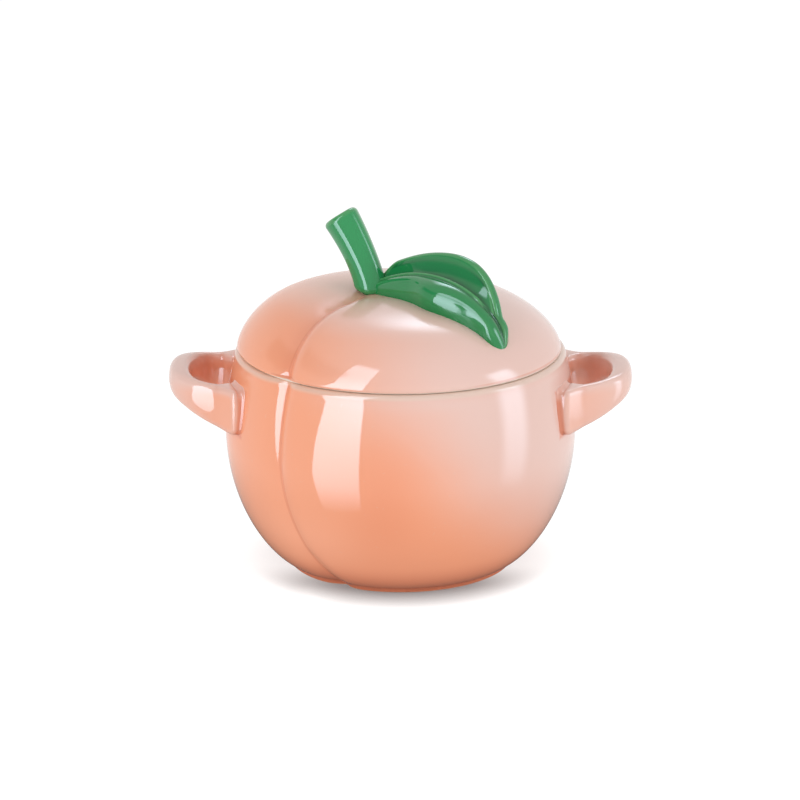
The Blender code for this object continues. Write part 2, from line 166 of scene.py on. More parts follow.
class HandleSizes(bpy.types.PropertyGroup):
    """The loop handles."""

    tip: length("Tip", "Distance of the loop's tip from the pot's axis", HANDLE_HIGH.x - TIP_INSET)
    top: length("Top", "Height of the loop's top at the pot", 0.0591)
    tip_rise: length("Tip rise", "Rise of the top towards the tip", 0.0029)
    tip_height: length("Tip height", "Height of the loop's section at its tip", 0.0054)
    root_height: length("Root height", "Height of the loop's section at the pot", 0.0146)
    tip_strap: length("Tip strap", "Width of the loop at its tip", 0.0062)
    rounding: length("Rounding", "Radius of the loop's edges", 0.0021)
    step: length("Step", "How far the flared root stands off the pot", 0.0023)
    undercut: power("Undercut", "How late the underside drops towards the pot", 1.6)
    outer_angle: turn("Outer angle", "Turn from the handle's middle to its outer root", 25.5)
    inner_angle: turn("Inner angle", "Turn from the handle's middle to its inner root", 13.0)
    tip_pull: length("Tip pull", "Half the width of the loop's round tip", 0.0090)
    shoulder: length("Shoulder", "Half the width of the loop behind its tip", 0.0185)
    waist: length("Waist", "Half the width of the loop's waist", 0.0145)
    flare: length("Flare", "Half the width where the loop flares towards the pot", 0.0181)
    inner_width: length("Inner width", "Half the width of the finger gap", 0.0165)
    belly: share("Belly", "How far the loop's faces swell, as a share of their height", 0.06)
    end_round: length("End rounding", "How far the root's corners are rounded off", 0.0012)
    root_depth: length("Root depth", "How far the root is pressed into the pot", 0.0016)
    fillet: length("Fillet", "Radius of the glaze that fills the corner at the pot", 0.0017)


class StemSizes(bpy.types.PropertyGroup):
    """The stem. It stands off the lid's axis."""

    x: length("X", "Place of the stem's foot across the lid", -0.0082)
    y: length("Y", "Place of the stem's foot along the lid", 0.0020)
    rise: length("Rise", "Height of the stem", 0.0220)
    lean_left: length("Lean left", "How far its top leans to the left", 0.0101)
    lean_back: length("Lean back", "How far its top leans to the back", 0.0066)
    bow: length("Bow", "How far its middle bows to the right", 0.0020)
    radius: length("Radius", "Radius of the stem", 0.0047)
    top_radius: length("Top radius", "Radius at the top", 0.0057)
    base_flare: length("Base flare", "Extra radius just above the foot", 0.0008)
    top_round: length("Top rounding", "Radius of the top's edge", 0.0016)
    foot_round: length("Foot rounding", "Radius of the edge that tucks in at the lid", 0.0026)
    foot_depth: length("Foot depth", "How far the stem is pressed into the lid", 0.0010)
    ridges: IntProperty(name="Ridges", description="Soft ridges along the stem", default=5)
    ridge_height: share("Ridge height", "Height of a ridge as a share of the radius", 0.022)
    ridge_turn: turn("Ridge turn", "Turn of the first ridge from the stem's left side", -70.0)


class LeafSizes(bpy.types.PropertyGroup):
    """The folded leaf: a near half that lies on the lid, a midrib, and a far half that stands up."""

    azimuth: turn("Azimuth", "Direction of the midrib", -40.0)
    start: length("Start", "Distance from the stem's axis to the leaf's base", 0.0042)
    length: length("Length", "Length of the midrib", 0.0462)
    near_base: length("Near width at base", "Width of the near half at its base", 0.0030)
    near_width: length("Near width", "Width of the near half in its middle", 0.0057)
    near_tip: length("Near width at tip", "Width of the near half at its tip", 0.0052)
    rib_base: length("Rib height at base", "Height of the midrib at its base", 0.0042)
    rib_height: length("Rib height", "Height of the midrib in its middle", 0.0081)
    rib_tip: length("Rib height at tip", "Height of the midrib at its tip", 0.0046)
    rib_radius: length("Rib radius", "Radius of the midrib's bead", 0.0007)
    far_base: length("Far height at base", "Height of the far half at its base", 0.0088)
    far_height: length("Far height", "Height of the far half at its crest", 0.0147)
    far_width: length("Far width", "Width of the far half's face", 0.0044)
    crest: length("Crest", "Distance from the base to the crest", 0.0252)
    thickness: length("Thickness", "Thickness of the far half", 0.0034)
    tip_round: length("Tip rounding", "Length of the rounded tip", 0.0038)
    root_depth: length("Root depth", "How far the leaf is pressed into the lid", 0.0016)
    tuck: length("Tuck", "How far the near edge tucks in at the lid", 0.0006)
    wave: length("Wave", "How far the near half swells out in its middle", 0.0031)
    draw: length("Draw", "How far the near edge draws in towards the tip", 0.0013)


class GlazeColours(bpy.types.PropertyGroup):
    """Colours of the glazes and the clay."""

    peach: colour("Peach", "Orange of the peach's ripe side", (0.900, 0.362, 0.207))
    blush: colour("Blush", "Pale pink of the peach's other side", (0.790, 0.542, 0.478))
    ripe: colour("Ripe patch", "Strong orange low on the front", (0.860, 0.315, 0.170))
    # A paler colour that paints light low on the left front of the pot
    painted_light: colour("Bloom", "Paler peach low on the ripe side", (0.970, 0.440, 0.280))
    # This colour paints shade: low on the pot, at the foot ring, inside the loops, round the handles'
    # roots and along the lid's crease; in hollows it is thick glaze and painted shade together
    shade: colour("Shade", "Thick glaze in the crease and by the foot", (0.700, 0.215, 0.115))
    bare: colour("Thin glaze", "Glaze worn thin over the clay's edges", (0.720, 0.560, 0.460))
    lining: colour("Lining", "Glaze inside the pot and the lid", (0.800, 0.720, 0.620))
    clay: colour("Clay", "Unglazed clay under the foot", (0.620, 0.500, 0.380))
    leaf: colour("Leaf", "Green of the leaf", (0.010, 0.225, 0.060))
    stem: colour("Stem", "Green of the stem", (0.014, 0.280, 0.083))
    # Also paints shade on the leaf's far face by the midrib and along the near half's lower edge
    leaf_deep: colour("Deep leaf", "Thick green glaze in the hollows", (0.004, 0.105, 0.030))
    leaf_thin: colour("Thin leaf", "Thin green glaze on the edges", (0.080, 0.330, 0.110))
    gloss: share("Gloss roughness", "Roughness of the fired surface", 0.035)


class StageSettings(bpy.types.PropertyGroup):
    """The table, the lights and the camera."""

    floor_size: length("Floor", "Side of the floor", 6.0)
    floor_white: share("Floor white", "Brightness of the floor's paint", 0.28)
    floor_glow: share("Floor glow", "Light that the floor adds where it shows", 0.335)
    floor_bounce: share("Floor bounce", "Light that the floor throws up at the pot", 0.52)
    card_radius: length("Shadow card", "Radius of the dim disc that shows in the gloss", 0.14)
    ambient: share("Ambient", "Light from all round", 0.47)
    key_power: watts("Key", "Light from the left", 4.95)
    fill_power: watts("Fill", "Light from the right", 5.7)
    front_power: watts("Front", "Light from the front", 0.3)
    back_power: watts("Back", "Light from behind", 2.2)
    elevation: turn("Camera elevation", "How far the camera looks down", 17.4)
    distance: length("Camera distance", "Distance of the camera from the pot", 1.2)
    aim: length("Camera aim", "Height that the camera looks at", AIM_HEIGHT)
    focal: FloatProperty(name="Lens", description="Focal length in millimetres", default=179.04)


class PeachPot(bpy.types.PropertyGroup):
    """All the settings of the peach pot."""

    pot: PointerProperty(type=PotSizes)
    crease: PointerProperty(type=CreaseSizes)
    lid: PointerProperty(type=LidSizes)
    handle: PointerProperty(type=HandleSizes)
    stem: PointerProperty(type=StemSizes)
    leaf: PointerProperty(type=LeafSizes)
    glaze: PointerProperty(type=GlazeColours)
    stage: PointerProperty(type=StageSettings)
    meridians: IntProperty(name="Meridians", description="Facets round the pot and the lid", default=288)
    crowding: share("Crowding", "How much closer the meridians stand at the crease", 0.78)


def steps(count):
    """Even fractions from 0 to 1, both included."""
    return [index / count for index in range(count + 1)]


def mix(first, second, part):
    """The value a part of the way from the first to the second."""
    return first + (second - first) * part


def limited(value):
    """The value, kept from 0 to 1."""
    return min(1.0, max(0.0, value))


def bezier(points, part):
    """A point on the Bezier curve with these control points."""
    while len(points) > 1:
        points = [mix(a, b, part) for a, b in zip(points, points[1:])]
    return points[0]


def bulge(base, middle, tip, part):
    """A smooth value that passes through base, middle and tip."""
    return bezier([base, 2 * middle - (base + tip) / 2, tip], part)


def arc(centre, radius, start, end, count):
    """Points in a plane along an arc, with angles in degrees."""
    angles = [math.radians(mix(start, end, part)) for part in steps(count)]
    return [(centre[0] + radius * math.cos(a), centre[1] + radius * math.sin(a)) for a in angles]


def swell(low, high, part, fullness):
    """A round rise from low to high."""
    return mix(low, high, max(0.0, 1 - (1 - part) ** 2) ** fullness)


def wall_radius(pot, height):
    """Radius of the pot's outside: foot, belly, and a wall drawn in towards the rim."""
    if height < pot.belly_height:
        part = limited((height - pot.foot_height) / (pot.belly_height - pot.foot_height))
        return swell(pot.foot_radius, pot.belly_radius, part, pot.belly_fullness)
    part = (height - pot.belly_height) / (pot.rim_height - pot.belly_height)
    return mix(pot.belly_radius, pot.rim_radius, part**2)


def inside_radius(pot, height):
    """Radius of the pot's inside, from its floor to its mouth."""
    widest = pot.belly_radius - pot.wall
    if height < pot.belly_height:
        part = limited((height - pot.floor_height) / (pot.belly_height - pot.floor_height))
        return swell(pot.floor_radius, widest, part, pot.floor_fullness)
    part = (height - pot.belly_height) / (pot.rim_height - pot.belly_height)
    return mix(widest, pot.rim_radius - pot.rim_width, part**2)


def dome(lid, radius, edge, low, rise):
    """Height of a flat-topped dome that stands on a circle of the radius edge."""
    return low + rise * max(0.0, 1 - (radius / edge) ** lid.roundness) ** lid.fullness


def lid_top(lid, radius):
    """Height of the dome's outside above the seat."""
    return dome(lid, radius, lid.radius, lid.edge, lid.dome)


def lid_hollow(lid, radius):
    """Height of the dome's inside above the seat."""
    edge = lid.flange_radius - lid.flange_width
    return dome(lid, min(radius, edge), edge, 0.0, lid.edge + lid.dome - lid.wall)


def dimple(lid, radius):
    """Depth of the dimple under the stem."""
    return lid.dimple_depth * math.exp(-((radius / lid.dimple_radius) ** 2))


def lid_height(sizes, spot):
    """Height of the lid's outside above its seat, over a spot in plan, leaving out the crease."""
    foot = Vector((sizes.stem.x, sizes.stem.y))
    away = spot - foot
    drift = (Vector((-sizes.lid.edge_drift, 0.0)) - foot) / sizes.lid.radius
    slope = away.dot(drift)
    span = 1 - drift.length_squared
    radius = (math.sqrt(slope**2 + span * away.length_squared) - slope) / span
    radius = min(radius, sizes.lid.radius)
    return lid_top(sizes.lid, radius) - dimple(sizes.lid, radius)


def groove(crease, across, left_width):
    """How much of the crease's depth there is at a distance across it: the right flank is steep."""
    if across > 0:
        return math.exp(-((across / crease.right_width) ** crease.right_power))
    return math.exp(-((-across / left_width) ** crease.left_power))


def turned(profile, meridians):
    """A closed body spun about Z from (radius, height) points that start and end on the axis."""
    bm = bmesh.new()
    verts = [bm.verts.new((radius, 0.0, height)) for radius, height in profile]
    for first, second in zip(verts, verts[1:]):
        bm.edges.new((first, second))
    bmesh.ops.spin(
        bm,
        geom=bm.verts[:] + bm.edges[:],
        cent=(0, 0, 0),
        axis=(0, 0, 1),
        angle=math.tau,
        steps=meridians,
        use_merge=True,
    )
    bmesh.ops.remove_doubles(bm, verts=bm.verts, dist=WELD)
    return bm


def skinned(rings, folds):
    """A closed body whose skin passes through rings of points, each with its depth in a fold."""
    bm = bmesh.new()
    depth = bm.verts.layers.float.new("fold")
    loops = []
    for ring in rings:
        verts = bmesh.ops.create_circle(bm, segments=len(folds), radius=1.0)["verts"]
        for vert, point, fold in zip(verts, ring, folds, strict=True):
            vert.co = point
            vert[depth] = fold
        loops.append({edge for vert in verts for edge in vert.link_edges})
    for first, second in zip(loops, loops[1:]):
        bmesh.ops.bridge_loops(bm, edges=list(first | second))
    for end in (loops[0], loops[-1]):
        bmesh.ops.contextual_create(bm, geom=list(end))
    return bm


def crowded(vert, crowding):
    """The vertex's radius, and its turn from the crease with the meridians drawn closer there."""
    angle = math.atan2(vert.co.y, vert.co.x)
    return vert.co.xy.length, angle - crowding * math.sin(angle)


TIGHT_BEND = 1000.0
MARK_SPREAD = 3


def mark_edges(bm):
    """Gives each vertex how tightly the surface bends out there, and how tightly it bends in."""
    bm.normal_update()
    out_of = bm.verts.layers.float.new("ridge")
    into = bm.verts.layers.float.new("hollow")
    bends = {}
    for edge in bm.edges:
        across = sum(face.calc_area() for face in edge.link_faces) / (2 * max(edge.calc_length(), WELD))
        bends[edge] = edge.calc_face_angle_signed(0.0) / max(across, WELD)
    for vert in bm.verts:
        around = [0.0] + [bends[edge] for edge in vert.link_edges]
        vert[out_of] = limited(max(around) / TIGHT_BEND)
        vert[into] = limited(-min(around) / TIGHT_BEND)
    for layer in (out_of, into):
        for _ in range(MARK_SPREAD):
            means = {}
            for vert in bm.verts:
                near = [edge.other_vert(vert)[layer] for edge in vert.link_edges]
                means[vert] = (vert[layer] + sum(near)) / (1 + len(near))
            for vert, mean in means.items():
                vert[layer] = mean


def finished(bm, name, paint, body, node):
    """Makes the object that stands for a node, closed, facing out and shaded smooth."""
    bmesh.ops.remove_doubles(bm, verts=bm.verts, dist=WELD)
    bmesh.ops.recalc_face_normals(bm, faces=bm.faces)
    if bm.calc_volume(signed=True) < 0:
        bmesh.ops.reverse_faces(bm, faces=bm.faces)
    mark_edges(bm)
    mesh = bpy.data.meshes.new(name)
    bm.to_mesh(mesh)
    bm.free()
    mesh.shade_smooth()
    mesh.materials.append(paint)
    piece = bpy.data.objects.new(name, mesh)
    bpy.context.scene.collection.objects.link(piece)
    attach(piece, body)
    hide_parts(node)


BELLY_STEPS = 44
SHOULDER_STEPS = 18
RIM_STEPS = 9
INSIDE_STEPS = (10, 30)
INSIDE_CROWDING = 0.6
FLOOR_PLACES = (0.7, 0.4, 0.0)


def pot_profile(pot):
    """(radius, height) points from under the foot, up the outside, over the rim and down the inside."""
    low = pot.rim_height - pot.rim_round
    inner_foot = pot.foot_radius - pot.foot_width
    points = [(0.0, pot.foot_recess)]
    points += [(inner_foot - pot.foot_recess, pot.foot_recess)]
    points += arc((inner_foot + pot.foot_round, pot.foot_round), pot.foot_round, 200, 270, 4)
    points += arc((pot.foot_radius - pot.foot_round, pot.foot_round), pot.foot_round, 270, 360, 5)
    heights = [mix(pot.foot_height, pot.belly_height, part**2) for part in steps(BELLY_STEPS)]
    heights += [mix(pot.belly_height, low, part) for part in steps(SHOULDER_STEPS)[1:-1]]
    points += [(wall_radius(pot, height), height) for height in heights]
    points += arc((wall_radius(pot, low) - pot.rim_round, low), pot.rim_round, 0, 90, RIM_STEPS)
    points += arc((inside_radius(pot, low) + pot.rim_round, low), pot.rim_round, 90, 180, RIM_STEPS)
    above, below = INSIDE_STEPS
    heights = [mix(low, pot.belly_height, part) for part in steps(above)[1:]]
    parts = [part**INSIDE_CROWDING for part in steps(below)[1:]]
    heights += [mix(pot.belly_height, pot.floor_height, part) for part in parts]
    points += [(inside_radius(pot, height), height) for height in heights]
    points += [(pot.floor_radius * part, pot.floor_height) for part in FLOOR_PLACES]
    return points


def shape_pot(bm, sizes):
    """Turns the meridians to follow the crease, and presses the crease into the outer wall."""
    pot, crease = sizes.pot, sizes.crease
    inside = bm.verts.layers.float.new("lining")
    for vert in bm.verts:
        radius, angle = crowded(vert, sizes.crowding)
        height = vert.co.z
        outer = wall_radius(pot, height)
        if height > pot.foot_recess:
            middle = (outer + inside_radius(pot, height)) / 2
            vert[inside] = limited(0.5 + (middle - radius) / pot.rim_round)
        twist = crease.twist * limited(1 - height / pot.rim_height) ** crease.twist_power
        high = limited((height - crease.waist) / (pot.rim_height - crease.waist))
        low = limited(1 - 2 * height / crease.waist)
        deep = mix(crease.waist_depth, crease.depth, high + low)
        sunk = deep * groove(crease, radius * angle, crease.left_width)
        radius -= sunk * limited(1 - (outer - radius) / pot.foot_width)
        azimuth = FRONT - crease.azimuth + twist + angle
        vert.co.xy = radius * math.cos(azimuth), radius * math.sin(azimuth)


HOLLOW_STEPS = 28
HOLLOW_CROWDING = 0.7
FLANGE_STEPS = 5
DOME_STEPS = 56


def lid_profile(lid):
    """(radius, height) points from the hollow's top, round the flange and the edge, and up the dome."""
    hollow = lid.flange_radius - lid.flange_width
    low = lid.flange_round - lid.flange_depth
    radii = [hollow * part**HOLLOW_CROWDING for part in steps(HOLLOW_STEPS)]
    points = [(radius, lid_hollow(lid, radius)) for radius in radii]
    points += arc((hollow + lid.flange_round, low), lid.flange_round, 180, 270, FLANGE_STEPS)
    points += arc((lid.flange_radius - lid.flange_round, low), lid.flange_round, 270, 360, FLANGE_STEPS)
    points += [(lid.flange_radius, -lid.flange_depth / 3), (lid.flange_radius, 0.0)]
    edge = arc((lid.radius - lid.edge_round, 0.0), lid.edge_round, 270, 360, RIM_STEPS)
    points += [(radius, lid.edge * (1 + level / lid.edge_round)) for radius, level in edge]
    for part in steps(DOME_STEPS)[1:]:
        radius = lid.radius * math.sqrt(max(0.0, math.cos(math.radians(90 * part))))
        points.append((radius, lid_top(lid, radius)))
    points[-1] = (0.0, points[-1][1])
    return points


def shape_lid(bm, sizes):
    """Draws the dome towards the stem, sinks the dimple and the crease, and sets the lid on its seat."""
    lid, crease = sizes.lid, sizes.crease
    inside = bm.verts.layers.float.new("lining")
    valley = bm.verts.layers.float.new("valley")
    foot = Vector((sizes.stem.x, sizes.stem.y))
    edge = Vector((-lid.edge_drift, 0.0))
    for vert in bm.verts:
        radius, angle = crowded(vert, sizes.crowding)
        azimuth = FRONT - crease.azimuth + angle
        outer = limited((vert.co.z - lid_hollow(lid, radius)) / lid.edge)
        spot = Vector((radius * math.cos(azimuth), radius * math.sin(azimuth)))
        spot += mix(foot, edge, radius / lid.radius) * outer
        point = Vector((spot.x, spot.y, vert.co.z - dimple(lid, radius) * outer))
        pinched = limited(1 - (lid.radius - radius + vert.co.z) / crease.pinch)
        left_width = mix(crease.dome_width, crease.left_width, pinched)
        creased = groove(crease, radius * angle, left_width) * limited(radius / crease.fade) * outer
        sunk = mix(crease.dome_depth, crease.depth, pinched) * creased
        vert[valley] = creased
        vert.co = point - point.normalized() * sunk if outer else point
        vert.co.z += lid.seat
        vert[inside] = 1 - outer


OUTER_PLACES = (0.1, 0.6, 0.9)
INNER_PLACES = (0.25, 0.8)
LOOP_END = 0.95
LOOP_STEPS = 44
ROOT_BEND = 0.35
BEND_STEPS = 12
ROOT_STEPS = 14


def handle_stations(sizes):
    """From the loop's tip to its root: outer and inner points in plan, and how far the ends round off."""
    handle, pot = sizes.handle, sizes.pot
    wall = wall_radius(pot, handle.top - handle.root_height / 2)
    tip, belly = handle.tip, pot.belly_radius
    hole = tip - handle.tip_strap
    outer_way = Vector((math.cos(handle.outer_angle), math.sin(handle.outer_angle)))
    inner_way = Vector((math.cos(handle.inner_angle), math.sin(handle.inner_angle)))
    shoulder, waist, flare = (mix(tip, belly, part) for part in OUTER_PLACES)
    front, back = (mix(hole, belly, part) for part in INNER_PLACES)
    outer = [
        Vector((tip, 0.0)),
        Vector((tip, handle.tip_pull)),
        Vector((shoulder, handle.shoulder)),
        Vector((waist, handle.waist)),
        Vector((flare, handle.flare)),
        outer_way * (wall + handle.step),
    ]
    inner = [
        Vector((hole, 0.0)),
        Vector((hole, handle.tip_pull)),
        Vector((front, handle.inner_width)),
        Vector((back, handle.inner_width)),
        inner_way * wall,
    ]
    outer_root = outer_way * (wall - handle.root_depth)
    inner_root = inner_way * (wall - handle.root_depth)
    parts = [part * LOOP_END for part in steps(LOOP_STEPS)]
    half = [(bezier(outer, part), bezier(inner, part), 0.0) for part in parts]
    before, inner_before, _ = half.pop()
    corner = outer[-1]
    after = mix(corner, outer_root, ROOT_BEND)
    for part in steps(BEND_STEPS):
        point = bezier([before, corner, after], part)
        half.append((point, mix(inner_before, inner[-1], part), part**2))
    for part in steps(ROOT_STEPS)[1:]:
        half.append((mix(after, outer_root, part), mix(inner[-1], inner_root, part), 1.0))
    return half


CORNER_SHARE = 0.45
CORNER_STEPS = 6
FACE_STEPS = 8
TOP_EASE = 0.3


def handle_ring(sizes, outer, inner, ended):
    """A rounded rectangle across the loop, deeper towards the pot, with faces that swell a little."""
    handle = sizes.handle
    root = wall_radius(sizes.pot, handle.top - handle.root_height / 2) * math.cos(handle.outer_angle)
    middle = (outer + inner) / 2
    out = limited((middle.x - root) / (handle.tip - root))
    top = handle.top + handle.tip_rise * out**2 - handle.end_round * ended * TOP_EASE
    tip_bottom = handle.top + handle.tip_rise - handle.tip_height
    bottom = mix(handle.top - handle.root_height, tip_bottom, out**handle.undercut)
    bottom += handle.end_round * ended
    half = (outer - inner).length / 2
    across = (outer - inner).normalized()
    corner = min(handle.rounding, CORNER_SHARE * (top - bottom), 2 * CORNER_SHARE * half)
    side = top - bottom - 2 * corner
    high, low = top - corner, bottom + corner
    faces = []
    for part in steps(FACE_STEPS)[1:-1]:
        faces.append((4 * part * (1 - part) * handle.belly * side, mix(high, low, part)))
    points = arc((half - corner, high), corner, 0, 90, CORNER_STEPS)
    points += [(0.0, top)]
    points += arc((corner - half, high), corner, 90, 180, CORNER_STEPS)
    points += [(-half - swollen, level) for swollen, level in faces]
    points += arc((corner - half, low), corner, 180, 270, CORNER_STEPS)
    points += [(0.0, bottom)]
    points += arc((half - corner, low), corner, 270, 360, CORNER_STEPS)
    points += [(half + swollen, level) for swollen, level in reversed(faces)]
    return [(*(middle + across * along), level) for along, level in points]


# How deep in the loop each point of a handle's ring lies, which sets the painted shade inside the loop
HANDLE_FOLD = [0.0] * 10 + [0.0, 0.2, 0.4, 0.7, 1.0] + [1.0] * 14 + [0.6] + [0.0] * 14


FILLET_FULLNESS = 0.92
FILLET_SIDE = 0.3


def fill_corner(bm, sizes):
    """Spreads a handle's root over the pot where the glaze fills the corner."""
    bm.normal_update()
    root = bm.verts.layers.float.new("root")
    fillet = sizes.handle.fillet
    for vert in bm.verts:
        away = vert.co.xy.length - wall_radius(sizes.pot, vert.co.z)
        vert[root] = limited(1 - away / sizes.handle.step)
        if away >= fillet:
            continue
        out = Vector((*vert.co.xy.normalized(), 0.0))
        along = vert.normal - out * vert.normal.dot(out)
        if along.length > FILLET_SIDE:
            near = FILLET_FULLNESS * limited(1 - away / fillet)
            vert.co += along.normalized() * fillet * (1 - math.sqrt(1 - near**2))


def rounded_end(radius, rounding, away):
    """A round bar's radius at a distance from its rounded end."""
    short = limited(1 - away / rounding)
    return radius - rounding * (1 - math.sqrt(1 - short**2))


STEM_SIDES = 80
STEM_STEPS = 40
STEM_ROUND_STEPS = (8, 12)
STEM_FOOT_START = 0.0002
STEM_STRAIGHTENING = 2.5
STEM_FLARE_POWER = 6


def stem_rings(sizes):
    """Rings up the stem's bowed axis, tucked in at the lid and rounded at the top."""
    stem = sizes.stem
    spot = Vector((stem.x, stem.y))
    foot = Vector((*spot, sizes.lid.seat + lid_height(sizes, spot)))
    lean = Vector((-stem.lean_left, stem.lean_back, stem.rise))
    axis = [foot, foot + lean / 2 + Vector((stem.bow, 0.0, 0.0)), foot + lean]
    up = Vector((0.0, 0.0, 1.0))
    long = lean.length
    low = stem.foot_depth / long
    foot_steps, top_steps = STEM_ROUND_STEPS
    parts = [-low] + [part * stem.foot_round / long for part in steps(foot_steps)]
    parts += [mix(stem.foot_round, long - stem.top_round, part) / long for part in steps(STEM_STEPS)[1:]]
    for part in steps(top_steps)[1:]:
        parts.append(1 - stem.top_round / long * (1 - math.sin(math.radians(90 * part))))
    rings = []
    for part in parts:
        centre = bezier(axis, part) if part > 0 else foot + up * long * part
        way = mix(axis[1] - axis[0], axis[2] - axis[1], limited(part)).normalized()
        way = mix(up, way, limited(STEM_STRAIGHTENING * part)).normalized()
        radius = mix(stem.radius, stem.top_radius, part**2)
        radius += stem.base_flare * (1 - part) ** STEM_FLARE_POWER
        radius = rounded_end(radius, stem.foot_round, long * max(part, 0.0) + STEM_FOOT_START)
        radius = rounded_end(radius, stem.top_round, long * (1 - part))
        across = way.cross(Vector((0.0, 1.0, 0.0))).normalized()
        ahead = across.cross(way)
        ring = []
        for side in steps(STEM_SIDES)[:-1]:
            angle = math.tau * side
            ridge = 1 + stem.ridge_height * (math.cos(stem.ridges * (angle - stem.ridge_turn)) - 1)
            ring.append(centre + (across * math.cos(angle) + ahead * math.sin(angle)) * radius * ridge)
        rings.append(ring)
    return rings


# Places along the leaf, as shares of its length: a point, or a start and a span
FAR_END = 0.945
BY_STEM = (-0.085, 0.12)
BEAD_FADE = (0.78, 0.12)
WAVE_PLACE = 0.475
WAVE_REACH = (0.12, 0.14)
DRAW_FROM = (0.60, 0.30)

# Forms of its section, as shares and exponents
FAR_CLIMB = 1.6
FAR_FALL = (2.5, 0.67)
BY_STEM_DROP = 0.5
FAR_OVER_RIB = 0.9
FAR_NARROW = 0.32
FAR_STOUT = 0.8
TIP_THIN = 0.5
BEAD_SINK = -1.3
WAVE_AT_RIB = 0.2
WAVE_AT_HEM = 0.5
NEAR_FULLNESS = (0.65, 0.75)
FAR_HOLLOW = (0.4, 0.9)

# Facets of the near face, the midrib, the far face, its lip, its back and its underside
NEAR_STEPS = 24
BEAD_STEPS = 8
FAR_STEPS = 22
LIP_STEPS = 14
BACK_STEPS = 6
UNDER_STEPS = 5


def passed(part, place):
    """How far a part lies along a place, given as its start and its span, from 0 to 1."""
    start, span = place
    return limited((part - start) / span)


def leaf_ring(leaf, part):
    """(across, height) points round the leaf's section at a share of its length."""
    tip = limited(1 - (1 - part) * leaf.length / leaf.tip_round)
    scale = math.sqrt(1 - tip**2)
    near = bulge(leaf.near_base, leaf.near_width, leaf.near_tip, part) * scale
    rib = bulge(leaf.rib_base, leaf.rib_height, leaf.rib_tip, part) * scale
    crest = leaf.crest / leaf.length
    if part < crest:
        far = mix(leaf.far_height, leaf.far_base, (1 - part / crest) ** FAR_CLIMB)
    else:
        fall, rounding = FAR_FALL
        far = leaf.far_height * (1 - passed(part, (crest, FAR_END - crest)) ** fall) ** rounding
    far *= 1 - BY_STEM_DROP * (1 - passed(part, BY_STEM)) ** 2
    far = max(far, FAR_OVER_RIB * rib)
    rise = far - rib
    stand = limited(rise / (leaf.far_height - leaf.rib_height))
    width = leaf.far_width * mix(FAR_NARROW, 1.0, stand) * scale
    thick = min(leaf.thickness, FAR_STOUT * far) * mix(TIP_THIN, 1.0, scale)
    lip = thick / 2
    bump = leaf.rib_radius * scale
    bead = bump * mix(1.0, BEAD_SINK, passed(part, BEAD_FADE))
    tuck = leaf.tuck * scale
    deep = -leaf.root_depth
    away = part - WAVE_PLACE
    reach = WAVE_REACH[0] if away < 0 else WAVE_REACH[1]
    wave = leaf.wave * math.exp(-((away / reach) ** 2)) * scale
    drawn = passed(part, DRAW_FROM)
    drawn = leaf.draw * drawn**2 * (3 - 2 * drawn) * scale
    near -= WAVE_AT_RIB * wave
    hem = tuck - near - WAVE_AT_HEM * wave + drawn
    cheek, brow = NEAR_FULLNESS
    near_face = [
        Vector((hem, deep)),
        Vector((drawn - near - tuck - wave, cheek * rib)),
        Vector((-brow * near - wave, rib)),
        Vector((-bump, rib)),
    ]
    low, high = FAR_HOLLOW
    far_face = [
        Vector((bump, rib)),
        Vector((low * width, rib)),
        Vector((high * width, rib + rise / 2)),
        Vector((width, far - lip)),
    ]
    points = [tuple(bezier(near_face, s)) for s in steps(NEAR_STEPS)]
    for side, level in arc((0.0, 0.0), 1.0, 150, 30, BEAD_STEPS):
        points.append((side * bump, rib + bead * level))
    points += [tuple(bezier(far_face, s)) for s in steps(FAR_STEPS)]
    points += arc((width + lip, far - lip), lip, 150, 0, LIP_STEPS)
    points += [(width + thick, mix(far - lip, deep, s)) for s in steps(BACK_STEPS)[1:]]
    points += [(mix(width + thick, hem, s), deep) for s in steps(UNDER_STEPS)[1:-1]]
    return points


LEAF_ROOT = 0.9
LEAF_TIP_TURN = 88
LEAF_STEPS = (8, 70, 14)


def leaf_rings(sizes):
    """Sections along the midrib, which follows the lid's dome away from the stem."""
    leaf = sizes.leaf
    along = Vector((math.cos(leaf.azimuth), math.sin(leaf.azimuth)))
    across = Vector((-along.y, along.x))
    tip = leaf.tip_round / leaf.length
    root_steps, middle_steps, tip_steps = LEAF_STEPS
    parts = [mix(-LEAF_ROOT * leaf.start / leaf.length, 0.0, part) for part in steps(root_steps)[:-1]]
    parts += [mix(0.0, 1 - tip, part) for part in steps(middle_steps)]
    for part in steps(tip_steps)[1:]:
        parts.append(1 - tip * (1 - math.sin(math.radians(LEAF_TIP_TURN * part))))
    rings = []
    for part in parts:
        spine = Vector((sizes.stem.x, sizes.stem.y)) + along * (leaf.start + leaf.length * part)
        low = sizes.lid.seat + lid_height(sizes, spine)
        rings.append([(*(spine + across * side), low + level) for side, level in leaf_ring(leaf, part)])
    return rings


# How deep in a fold each point of the leaf's ring lies, which sets the painted shade there
HEM_DEPTH = 0.6
HEM_SHARE = 0.25
BEAD_DEPTH = 0.3
LEAF_FOLD = [HEM_DEPTH * limited(1 - s / HEM_SHARE) for s in steps(NEAR_STEPS)]
LEAF_FOLD += [BEAD_DEPTH] * (BEAD_STEPS + 1)
LEAF_FOLD += [1 - s for s in steps(FAR_STEPS)]
LEAF_FOLD += [0.0] * (LIP_STEPS + BACK_STEPS + UNDER_STEPS)


GLAZE_IOR = 1.55


